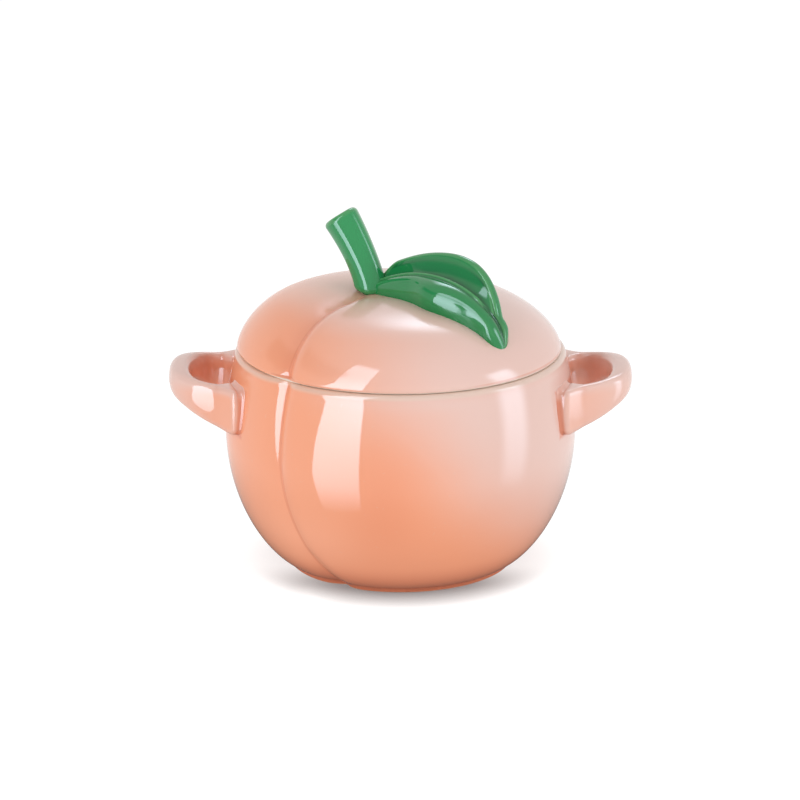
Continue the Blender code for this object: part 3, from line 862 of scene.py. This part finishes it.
class Wire:
    """A node's output that takes part in sums written as Python."""

    def __init__(self, paint, socket):
        self.paint = paint
        self.socket = socket

    def sum(self, operation, first, second):
        """One Math node."""
        return self.paint.node("ShaderNodeMath", {"operation": operation}, {0: first, 1: second})

    def __add__(self, other):
        return self.sum("ADD", self, other)

    def __radd__(self, other):
        return self.sum("ADD", other, self)

    def __sub__(self, other):
        return self.sum("SUBTRACT", self, other)

    def __rsub__(self, other):
        return self.sum("SUBTRACT", other, self)

    def __mul__(self, other):
        return self.sum("MULTIPLY", self, other)

    def __rmul__(self, other):
        return self.sum("MULTIPLY", other, self)

    def __truediv__(self, other):
        return self.sum("DIVIDE", self, other)

    def __rtruediv__(self, other):
        return self.sum("DIVIDE", other, self)

    def __pow__(self, other):
        return self.sum("POWER", self, other)


class Paint:
    """The node tree of one finish."""

    def __init__(self, tree):
        self.tree = tree
        self.tree.nodes.clear()

    @classmethod
    def material(cls, name):
        """A new material and its paint."""
        made = bpy.data.materials.new(name)
        made.use_nodes = True
        return made, cls(made.node_tree)

    def node(self, kind, settings=None, sockets=None, output=0):
        """Any node: its settings are set first, then its sockets get their values or links."""
        node = self.tree.nodes.new(kind)
        for key, value in (settings or {}).items():
            setattr(node, key, value)
        for key, value in (sockets or {}).items():
            if isinstance(value, Wire):
                self.tree.links.new(value.socket, node.inputs[key])
            else:
                node.inputs[key].default_value = value
        return Wire(self, node.outputs[output]) if node.outputs else node

    def smooth(self, value, low, high):
        """0 below low, 1 above high, and a soft step between them."""
        return self.node(
            "ShaderNodeMapRange",
            {"interpolation_type": "SMOOTHSTEP"},
            {"Value": value, "From Min": low, "From Max": high},
        )

    def blend(self, first, second, part):
        """Two colours mixed."""
        first, second = (c if isinstance(c, Wire) else (*c, 1.0) for c in (first, second))
        return self.node("ShaderNodeMix", {"data_type": "RGBA"}, {0: part, 6: first, 7: second}, output=2)

    def place(self):
        """The surface point's X, Y and Z."""
        point = self.node("ShaderNodeTexCoord", output="Object")
        split = self.tree.nodes.new("ShaderNodeSeparateXYZ")
        self.tree.links.new(point.socket, split.inputs[0])
        return point, [Wire(self, socket) for socket in split.outputs]

    def mark(self, name):
        """A value that the mesh carries on its vertices."""
        return self.node("ShaderNodeAttribute", {"attribute_name": name}, output="Fac")

    def noise(self, point, scale, detail=2.0):
        """Soft noise from 0 to 1."""
        return self.node("ShaderNodeTexNoise", None, {"Vector": point, "Scale": scale, "Detail": detail})

    def shown(self, part, strength, tint=(1.0, 1.0, 1.0)):
        """A plain glow where part is 1, and nothing where it is 0."""
        clear = self.node("ShaderNodeBsdfTransparent")
        glow = self.node("ShaderNodeEmission", None, {"Color": (*tint, 1.0), "Strength": strength})
        mixed = self.node("ShaderNodeMixShader", None, {0: part, 1: clear, 2: glow})
        self.node("ShaderNodeOutputMaterial", None, {"Surface": mixed})

    def fired(self, colour_wire, roughness, height, depth):
        """The fired surface of a glaze, slightly wavy."""
        bump = self.node("ShaderNodeBump", None, {"Strength": 1.0, "Distance": depth, "Height": height})
        sockets = {"Base Color": colour_wire, "Roughness": roughness, "IOR": GLAZE_IOR, "Normal": bump}
        shader = self.node("ShaderNodeBsdfPrincipled", None, sockets)
        self.node("ShaderNodeOutputMaterial", None, {"Surface": shader})


def gaussian(paint, wires, centre, widths):
    """A soft round patch: 1 at its centre, falling off over its widths."""
    total = 0.0
    for wire, middle, width in zip(wires, centre, widths):
        total = total + ((wire - middle) / width) ** 2.0
    return paint.node("ShaderNodeMath", {"operation": "EXPONENT"}, {0: total * -1.0})


def overlap(*parts):
    """Shares that lie over each other: 0 where all are 0, and never more than 1."""
    clear = 1.0 - parts[0]
    for part in parts[1:]:
        clear = clear * (1.0 - part)
    return 1.0 - clear


# Where the peach's glaze changes, in metres: from one height or distance to another
LID_CROWN = (0.078, 0.086)
LID_MATT = (0.0745, 0.0815)
WALL_MIDDLE = 0.0325
WALL_BRIM = (0.060, 0.067)
RIM_EDGE = (0.0640, 0.0656)
LOOP_TIP = (0.054, 0.070)
LOOP_TOP = (0.0560, 0.0600)
ROOT_TOP_EASE = 0.0012
ROOT_BAND = (0.0003, 0.0018)

# Heights under which it changes, each with the depth of its soft step
# Painted shade low on the pot, darker towards the foot
FOOT_SHADE = (0.012, 0.011)
# Painted shadow along the foot ring's bottom edge, where the pot meets the floor
RING_SHADE = (0.0026, 0.0016)
BARE_RING = (0.0003, 0.0002)
# Height below which shade is painted round the handles' roots
ROOT_SHADE_TOP = (0.0575, 0.0020)

# Soft patches: their centres and their widths
PATCH = ((-0.005, -0.046, 0.033), (0.012, 0.030, 0.020))
# Painted light: a paler patch low on the left front
PAINTED_LIGHT = ((-0.025, -0.035, 0.019), (0.022, 0.050, 0.010))

# How ripe it is there, and how much riper it gets for each metre to the left or down
LID_RIPE, LID_LEFTWARD = 0.33, 20.0
CROWN_PALE = 0.5
WALL_DOWNWARD, WALL_LEFTWARD = 20.5, 19.5
BRIM_RIPE, BRIM_LEFTWARD = 0.15, 26.0
RIPE_RANGE = (-0.1, 1.1)
HANDLE_RIPE, HANDLE_EVEN = 0.77, 0.45

# How strongly each change shows
FOOT_TINT, HOLLOW_TINT, RING_TINT = 0.72, 0.40, 0.7
TIP_PALE, TOP_PALE, EDGE_PALE = 0.7, 0.75, 0.3
FOLD_TINT, ROOT_TINT = 0.12, 0.8
WALL_ROOT_TINT = 0.7
VALLEY_TINT = 0.32
PATCH_TINT, PAINTED_LIGHT_TINT = 0.8, 0.65
EDGE_WEAR = {"lid": 0.12, "handle": 0.0}
EDGE_TINT = 0.65
SPECK_TINT = 0.10
BARE_ROUGH, EDGE_ROUGH, CLOUD_ROUGH, CROWN_ROUGH = 0.55, 0.05, 0.01, 0.16

# Marks on the mesh, and noise: ranges, scales and weights
EDGE_RANGE = (0.10, 0.42)
HOLLOW_RANGE = (0.03, 0.22)
ROOT_RANGE = (0.20, 0.75)
LINING_RANGE = (0.45, 0.75)
SPECK_RANGE = (0.70, 0.78)
CLOUD_SCALE, SPECK_SCALE, RIPPLE_SCALE, PIMPLE_SCALE = 38.0, 900.0, 55.0, 420.0
CLOUD_RIPE, CLOUD_EDGE = 0.25, 0.10
PIMPLE_SHARE = 0.03
RIPPLE_DEPTH, HANDLE_RIPPLE_DEPTH = 0.00010, 0.00004


def absolute(paint, wire):
    """A value without its sign."""
    return paint.node("ShaderNodeMath", {"operation": "ABSOLUTE"}, {0: wire})


def under(paint, z, band):
    """1 low down and 0 from a height upwards, with a soft step of a given depth below that height."""
    top, fade = band
    return paint.smooth(top - z, 0.0, fade)


def by_root(paint, place, sizes):
    """1 on the pot's wall round a handle's root: painted shade in the corner there, where the glaze also
    runs thick.
    """
    x, y, z = place
    handle = sizes.handle
    sides = [absolute(paint, wire) for wire in (x, y)]
    angle = paint.node("ShaderNodeMath", {"operation": "ARCTAN2"}, {0: sides[1], 1: sides[0]})
    away = (angle - handle.outer_angle) * sizes.pot.belly_radius
    low = handle.top - handle.root_height + handle.end_round
    for other in (z - handle.top + ROOT_TOP_EASE, low - z):
        away = paint.node("ShaderNodeMath", {"operation": "MAXIMUM"}, {0: away, 1: other})
    return 1.0 - paint.smooth(away, *ROOT_BAND)


def ripeness(paint, place, on_lid):
    """How ripe the peach is: 1 is orange and 0 is pale pink."""
    x, _, z = place
    if on_lid:
        return LID_RIPE - x * LID_LEFTWARD - paint.smooth(z, *LID_CROWN) * CROWN_PALE
    wall = 1.0 - (z - WALL_MIDDLE) * WALL_DOWNWARD - x * WALL_LEFTWARD
    brim = BRIM_RIPE - x * BRIM_LEFTWARD
    return wall + (brim - wall) * paint.smooth(z, *WALL_BRIM)


def peach_glaze(name, sizes, part):
    """The peach's glaze: orange where it is ripe, pale pink elsewhere, thin on edges; painted shade low
    down, at the foot ring, in hollows over thick glaze, inside the loops, round the roots and in the lid's
    crease; and painted light low on the left front.
    """
    glaze = sizes.glaze
    made, paint = Paint.material(name)
    point, place = paint.place()
    x, _, z = place
    cloud = paint.noise(point, CLOUD_SCALE) - 0.5
    ripe = paint.smooth(ripeness(paint, place, part == "lid") + cloud * CLOUD_RIPE, *RIPE_RANGE)
    edge = paint.smooth(paint.mark("ridge") + cloud * CLOUD_EDGE, *EDGE_RANGE)
    hollow = paint.smooth(paint.mark("hollow"), *HOLLOW_RANGE)
    # Painted shade: low on the pot, in hollows where the glaze also runs thick, and at the foot ring
    shade_and_pools = [
        under(paint, z, FOOT_SHADE) * FOOT_TINT,
        hollow * HOLLOW_TINT,
        under(paint, z, RING_SHADE) * RING_TINT,
    ]
    if part == "handle":
        thin = overlap(
            paint.smooth(absolute(paint, x), *LOOP_TIP) * TIP_PALE,
            paint.smooth(z, *LOOP_TOP) * TOP_PALE,
            edge * EDGE_PALE,
        )
        ripe = (1.0 - (1.0 - ripe) * HANDLE_EVEN) * (1.0 - thin) * HANDLE_RIPE
        # Painted shade on the handle where its root meets the pot, where the glaze also runs thick, and
        # inside the loop
        root = paint.smooth(paint.mark("root"), *ROOT_RANGE) * under(paint, z, ROOT_SHADE_TOP)
        shade_and_pools += [paint.mark("fold") * FOLD_TINT, root * ROOT_TINT]
    body = paint.blend(glaze.blush, glaze.peach, ripe)
    if part == "pot":
        # Painted shade on the wall round the handles' roots
        shade_and_pools.append(by_root(paint, place, sizes) * WALL_ROOT_TINT)
        body = paint.blend(body, glaze.painted_light, gaussian(paint, place, *PAINTED_LIGHT) * PAINTED_LIGHT_TINT)
    if part == "lid":
        # Painted shade along the lid's crease, broad on its left flank
        shade_and_pools.append(paint.mark("valley") * VALLEY_TINT)
    body = paint.blend(body, glaze.ripe, gaussian(paint, place, *PATCH) * PATCH_TINT)
    # The shade colour paints all these shades at once
    body = paint.blend(body, glaze.shade, overlap(*shade_and_pools))
    worn = paint.smooth(z, *RIM_EDGE) if part == "pot" else edge * EDGE_WEAR[part]
    body = paint.blend(body, glaze.bare, worn * EDGE_TINT)
    body = paint.blend(body, glaze.lining, paint.smooth(paint.mark("lining"), *LINING_RANGE))
    bare = under(paint, z, BARE_RING)
    body = paint.blend(body, glaze.clay, bare)
    specks = paint.smooth(paint.noise(point, SPECK_SCALE, 1.0), *SPECK_RANGE)
    body = paint.blend(body, glaze.bare, specks * SPECK_TINT)
    ripple = paint.noise(point, RIPPLE_SCALE, 1.0) + paint.noise(point, PIMPLE_SCALE, 1.0) * PIMPLE_SHARE
    rough = glaze.gloss + bare * BARE_ROUGH + worn * EDGE_ROUGH + cloud * CLOUD_ROUGH
    if part == "lid":
        rough = rough + paint.smooth(z, *LID_MATT) * CROWN_ROUGH
    paint.fired(body, rough, ripple, HANDLE_RIPPLE_DEPTH if part == "handle" else RIPPLE_DEPTH)
    return made


# The green glaze: ranges of the marks on the mesh, tints, and noise
DEEP_RANGE = (0.02, 0.40)
THIN_RANGE = (0.30, 0.75)
DEEP_TINT, LEAF_FOLD_TINT, THIN_TINT = 0.75, 0.55, 0.65
LEAF_CLOUD_SCALE, LEAF_RIPPLE_SCALE, LEAF_PIMPLE_SCALE = 90.0, 110.0, 700.0
CLOUD_DEEP, CLOUD_GREEN, CLOUD_THIN = 0.08, 0.12, 0.15
THIN_ROUGH = 0.04
LEAF_RIPPLE_DEPTH = 0.00012


def leaf_glaze(name, green, glaze):
    """The leaf's and the stem's glaze: green, deep in hollows, painted shade in the leaf's fold, thin and
    yellowish on edges.
    """
    made, paint = Paint.material(name)
    point, _ = paint.place()
    cloud = paint.noise(point, LEAF_CLOUD_SCALE) - 0.5
    hollow = paint.smooth(paint.mark("hollow") + cloud * CLOUD_DEEP, *DEEP_RANGE)
    # Painted shade in the leaf's fold, and thick glaze with painted shade in its hollows
    deep = overlap(hollow * DEEP_TINT, paint.mark("fold") * LEAF_FOLD_TINT)
    body = paint.blend(green, glaze.leaf_deep, deep + cloud * CLOUD_GREEN)
    thin = paint.smooth(paint.mark("ridge") + cloud * CLOUD_THIN, *THIN_RANGE)
    body = paint.blend(body, glaze.leaf_thin, thin * THIN_TINT)
    ripple = paint.noise(point, LEAF_RIPPLE_SCALE, 1.0)
    ripple = ripple + paint.noise(point, LEAF_PIMPLE_SCALE, 1.0) * PIMPLE_SHARE
    paint.fired(body, glaze.gloss + thin * THIN_ROUGH + cloud * CLOUD_ROUGH, ripple, LEAF_RIPPLE_DEPTH)
    return made


class PEACHPOT_OT_pot(bpy.types.Operator):
    """Make the glazed pot"""

    bl_idname = "peach_pot.pot"
    bl_label = "Pot"

    def execute(self, context):
        sizes = context.scene.peach_pot
        bm = turned(pot_profile(sizes.pot), sizes.meridians)
        shape_pot(bm, sizes)
        paint = peach_glaze("pot glaze", sizes, "pot")
        finished(bm, "pot_glazed", paint, "pot", "pot_body")
        return {"FINISHED"}


class PEACHPOT_OT_handles(bpy.types.Operator):
    """Make the two loop handles"""

    bl_idname = "peach_pot.handles"
    bl_label = "Handles"

    def execute(self, context):
        sizes = context.scene.peach_pot
        half = handle_stations(sizes)
        mirror = Matrix.Diagonal((1, -1))
        stations = [(mirror @ a, mirror @ b, end) for a, b, end in reversed(half[1:])] + half
        rings = [handle_ring(sizes, *station) for station in stations]
        for side, angle in (("right", 0.0), ("left", math.pi)):
            bm = skinned(rings, HANDLE_FOLD)
            bmesh.ops.recalc_face_normals(bm, faces=bm.faces)
            fill_corner(bm, sizes)
            bmesh.ops.rotate(bm, verts=bm.verts, cent=(0, 0, 0), matrix=Matrix.Rotation(angle, 3, "Z"))
            paint = peach_glaze(side + " handle glaze", sizes, "handle")
            finished(bm, side + "_handle_glazed", paint, "pot", side + "_handle")
        return {"FINISHED"}


class PEACHPOT_OT_lid(bpy.types.Operator):
    """Make the glazed lid"""

    bl_idname = "peach_pot.lid"
    bl_label = "Lid"

    def execute(self, context):
        sizes = context.scene.peach_pot
        bm = turned(lid_profile(sizes.lid), sizes.meridians)
        shape_lid(bm, sizes)
        paint = peach_glaze("lid glaze", sizes, "lid")
        finished(bm, "lid_glazed", paint, "lid", "lid")
        return {"FINISHED"}


class PEACHPOT_OT_stem(bpy.types.Operator):
    """Make the green stem"""

    bl_idname = "peach_pot.stem"
    bl_label = "Stem"

    def execute(self, context):
        sizes = context.scene.peach_pot
        bm = skinned(stem_rings(sizes), [0.0] * STEM_SIDES)
        paint = leaf_glaze("stem glaze", sizes.glaze.stem, sizes.glaze)
        finished(bm, "stem_glazed", paint, "lid", "stem")
        return {"FINISHED"}


class PEACHPOT_OT_leaf(bpy.types.Operator):
    """Make the folded leaf"""

    bl_idname = "peach_pot.leaf"
    bl_label = "Leaf"

    def execute(self, context):
        sizes = context.scene.peach_pot
        bm = skinned(leaf_rings(sizes), LEAF_FOLD)
        paint = leaf_glaze("leaf glaze", sizes.glaze.leaf, sizes.glaze)
        finished(bm, "leaf_glazed", paint, "lid", "leaf")
        return {"FINISHED"}


def direction(azimuth, elevation):
    """A unit vector from the pot, with the azimuth in degrees from the front towards the right."""
    azimuth, elevation = math.radians(azimuth), math.radians(elevation)
    level = math.cos(elevation)
    return Vector((math.sin(azimuth) * level, -math.cos(azimuth) * level, math.sin(elevation)))


def aim(item, azimuth, elevation, distance):
    """Places a lamp or a panel in a direction from the pot, facing it."""
    way = direction(azimuth, elevation)
    item.location = Vector((0, 0, AIM_HEIGHT)) + way * distance
    item.rotation_euler = way.to_track_quat("Z", "Y").to_euler()


def lamp(name, energy, azimuth, elevation, distance, width, height):
    """A soft area lamp aimed at the pot. It lights the pot, and the panels make its reflections."""
    light = bpy.data.lights.new(name, "AREA")
    light.shape = "RECTANGLE"
    light.size, light.size_y = width, height
    light.energy = energy
    item = bpy.data.objects.new(name, light)
    aim(item, azimuth, elevation, distance)
    item.visible_glossy = False
    bpy.context.scene.collection.objects.link(item)


def staged(bm, name, made):
    """Makes a piece of the stage, which isn't part of the pot."""
    mesh = bpy.data.meshes.new(name)
    bm.to_mesh(mesh)
    bm.free()
    mesh.materials.append(made)
    item = bpy.data.objects.new(name, mesh)
    bpy.context.scene.collection.objects.link(item)
    return item


def only_in_gloss(item):
    """Hides a piece of the stage from all but reflections."""
    item.visible_camera = item.visible_diffuse = item.visible_shadow = False


# A panel's tint, and places on it as shares of its height above its middle
COOL = (0.82, 0.96, 1.10)
SLANT_BAND = (-1 / 4, 1 / 16)
DIM_BAND = (0.0, 1 / 4)
FADE_POWER = 0.75


def panel(name, strength, azimuth, elevation, distance, size, soft, fade, top_fade, slant=0.0, dim=0.0):
    """A studio panel that shows only in reflections, with soft sides and ends.

    Its left side may slant and its upper part may dim. A weak one is a dark flag in the white room.
    """
    width, height = size
    bm = bmesh.new()
    bmesh.ops.create_grid(bm, x_segments=1, y_segments=1, size=0.5)
    bmesh.ops.scale(bm, verts=bm.verts, vec=(width, height, 1.0))
    made, paint = Paint.material(name)
    _, (x, y, _) = paint.place()
    start, end = (height * place for place in SLANT_BAND)
    ramp = {"Value": y, "From Min": start, "From Max": end, "To Max": slant}
    left = x + width / 2 - paint.node("ShaderNodeMapRange", None, ramp)
    sides = paint.smooth(left, 0.0, soft) * paint.smooth(width / 2 - x, 0.0, soft)
    ramp = {"Value": y, "From Min": -height / 2, "From Max": fade - height / 2}
    lower = paint.node("ShaderNodeMapRange", None, ramp)
    dimmed = 1.0 - paint.smooth(y, *(height * place for place in DIM_BAND)) * dim
    upper = paint.smooth(height / 2 - y, 0.0, top_fade) * dimmed
    paint.shown(sides * upper * lower**FADE_POWER, strength, COOL)
    item = staged(bm, name, made)
    aim(item, azimuth, elevation, distance)
    only_in_gloss(item)


CARD_SIDES = 64
CARD_HEIGHT = 0.0002
CARD_CORE = 0.25
CARD_GLOW = 0.10


def shadow_card(stage):
    """A dim disc under the pot that shows only in its gloss, as its own shadow on the table would."""
    bm = bmesh.new()
    bmesh.ops.create_circle(bm, cap_ends=True, segments=CARD_SIDES, radius=stage.card_radius)
    bmesh.ops.translate(bm, verts=bm.verts, vec=(0.0, 0.0, CARD_HEIGHT))
    made, paint = Paint.material("shadow card")
    _, (x, y, _) = paint.place()
    away = (x * x + y * y) ** 0.5
    paint.shown(1.0 - paint.smooth(away, CARD_CORE * stage.card_radius, stage.card_radius), CARD_GLOW)
    only_in_gloss(staged(bm, "shadow card", made))


def seen(paint, kind):
    """1 for rays of a kind: Camera, Glossy or Transmission."""
    return paint.node("ShaderNodeLightPath", output=f"Is {kind} Ray")


# The shadow where the pot stands: its reach, and its strength from the back to the front
CONTACT_REACH = 0.0088
CONTACT_SAMPLES = 12
CONTACT_BAND = (0.008, 0.030)
CONTACT_BACK, CONTACT_AHEAD = 0.18, 0.74


def lay_floor(stage):
    """A pale floor that keeps the pot's shadow, and is white where the camera sees it."""
    bm = bmesh.new()
    bmesh.ops.create_grid(bm, x_segments=2, y_segments=2, size=stage.floor_size / 2)
    made, paint = Paint.material("floor paint")
    chalk = paint.node("ShaderNodeBsdfDiffuse", None, {"Color": (*[stage.floor_white] * 3, 1.0)})
    reach = {"Distance": CONTACT_REACH}
    open_sky = paint.node("ShaderNodeAmbientOcclusion", {"samples": CONTACT_SAMPLES}, reach, output="AO")
    _, (_, y, _) = paint.place()
    contact = paint.smooth(-1.0 * y, *CONTACT_BAND) * CONTACT_AHEAD + CONTACT_BACK
    light = seen(paint, "Camera") * stage.floor_glow + stage.floor_bounce
    glow = paint.node("ShaderNodeEmission", None, {"Strength": light * (1.0 - (1.0 - open_sky) * contact)})
    floor_shader = paint.node("ShaderNodeAddShader", None, {0: chalk, 1: glow})
    paint.node("ShaderNodeOutputMaterial", None, {"Surface": floor_shader})
    staged(bm, "floor", made).visible_glossy = False


def fill_world(scene, stage):
    """A white room where it shows, and a dimmer one where it lights the pot."""
    world = bpy.data.worlds.new("studio")
    world.use_nodes = True
    scene.world = world
    sky = Paint(world.node_tree)
    shown = seen(sky, "Camera") + seen(sky, "Glossy") + seen(sky, "Transmission")
    strength = stage.ambient + shown * (1.0 - stage.ambient)
    back = sky.node("ShaderNodeBackground", None, {"Color": (1.0, 1.0, 1.0, 1.0), "Strength": strength})
    sky.node("ShaderNodeOutputWorld", None, {"Surface": back})


SENSOR_WIDTH = 36.0
FRAME_SIDE = 800
FRAME_SHIFT = (-0.5, -1.9)


def set_camera(scene, stage):
    """The camera, at the photograph's angle. Its shift is given in pixels of the photograph."""
    camera = bpy.data.cameras.new("camera")
    camera.sensor_width = SENSOR_WIDTH
    camera.lens = stage.focal
    camera.shift_x, camera.shift_y = (pixels / FRAME_SIDE for pixels in FRAME_SHIFT)
    item = bpy.data.objects.new("camera", camera)
    level = math.cos(stage.elevation) * stage.distance
    item.location = (0.0, -level, stage.aim + math.sin(stage.elevation) * stage.distance)
    item.rotation_euler = (math.pi / 2 - stage.elevation, 0.0, 0.0)
    scene.collection.objects.link(item)
    scene.camera = item


# Azimuths and elevations in degrees, other sizes in metres
LAMPS = {
    "key": {"azimuth": -45, "elevation": 10, "distance": 0.9, "width": 0.5, "height": 0.9},
    "fill": {"azimuth": 64, "elevation": 14, "distance": 1.1, "width": 0.7, "height": 0.7},
    "front": {"azimuth": 0, "elevation": 14, "distance": 1.6, "width": 0.9, "height": 0.9},
    "back": {"azimuth": 180, "elevation": 62, "distance": 1.1, "width": 0.9, "height": 0.9},
}
KEY_PANEL = {"strength": 9.0, "azimuth": -42.3, "elevation": 13, "distance": 0.8, "size": (0.54, 2.00)}
KEY_PANEL |= {"soft": 0.02, "fade": 0.90, "top_fade": 0.25, "slant": 0.22, "dim": 0.33}
FILL_PANEL = {"strength": 6.2, "azimuth": 78, "elevation": 4, "distance": 0.9, "size": (0.46, 1.10)}
FILL_PANEL |= {"soft": 0.16, "fade": 0.80, "top_fade": 0.20}
BACK_PANEL = {"strength": 7.5, "azimuth": 170, "elevation": 46, "distance": 0.9, "size": (0.42, 0.50)}
BACK_PANEL |= {"soft": 0.21, "fade": 0.25, "top_fade": 0.25}
DARK_FLAG = {"strength": 0.40, "azimuth": -79, "elevation": 40, "distance": 0.7, "size": (0.84, 0.38)}
DARK_FLAG |= {"soft": 0.16, "fade": 0.12, "top_fade": 0.12}


class PEACHPOT_OT_stage(bpy.types.Operator):
    """Set the floor, the lights and the camera"""

    bl_idname = "peach_pot.stage"
    bl_label = "Stage"

    def execute(self, context):
        scene, stage = context.scene, context.scene.peach_pot.stage
        scene.view_settings.view_transform = "Standard"
        lay_floor(stage)
        fill_world(scene, stage)
        shadow_card(stage)
        for name, place in LAMPS.items():
            lamp(name + " lamp", getattr(stage, name + "_power"), **place)
        panel("key panel", **KEY_PANEL)
        panel("fill panel", **FILL_PANEL)
        panel("back panel", **BACK_PANEL)
        panel("dark flag", **DARK_FLAG)
        set_camera(scene, stage)
        return {"FINISHED"}


OPERATORS = (
    PEACHPOT_OT_pot,
    PEACHPOT_OT_handles,
    PEACHPOT_OT_lid,
    PEACHPOT_OT_stem,
    PEACHPOT_OT_leaf,
    PEACHPOT_OT_stage,
)


class PEACHPOT_PT_sidebar(bpy.types.Panel):
    """Lists the pieces of the peach pot"""

    bl_idname = "PEACHPOT_PT_sidebar"
    bl_label = "Peach pot"
    bl_space_type = "VIEW_3D"
    bl_region_type = "UI"
    bl_category = "Peach pot"

    def draw(self, context):
        for operator in OPERATORS:
            self.layout.operator(operator.bl_idname)


GROUPS = (PotSizes, CreaseSizes, LidSizes, HandleSizes, StemSizes, LeafSizes, GlazeColours, StageSettings)
CLASSES = (*GROUPS, PeachPot, *OPERATORS, PEACHPOT_PT_sidebar)


def register():
    for item in CLASSES:
        bpy.utils.register_class(item)
    bpy.types.Scene.peach_pot = PointerProperty(type=PeachPot)


def unregister():
    del bpy.types.Scene.peach_pot
    for item in reversed(CLASSES):
        bpy.utils.unregister_class(item)


def main():
    register()
    bpy.ops.peach_pot.pot()
    bpy.ops.peach_pot.handles()
    bpy.ops.peach_pot.lid()
    bpy.ops.peach_pot.stem()
    bpy.ops.peach_pot.leaf()
    bpy.ops.peach_pot.stage()


if __name__ == "__main__":
    main()
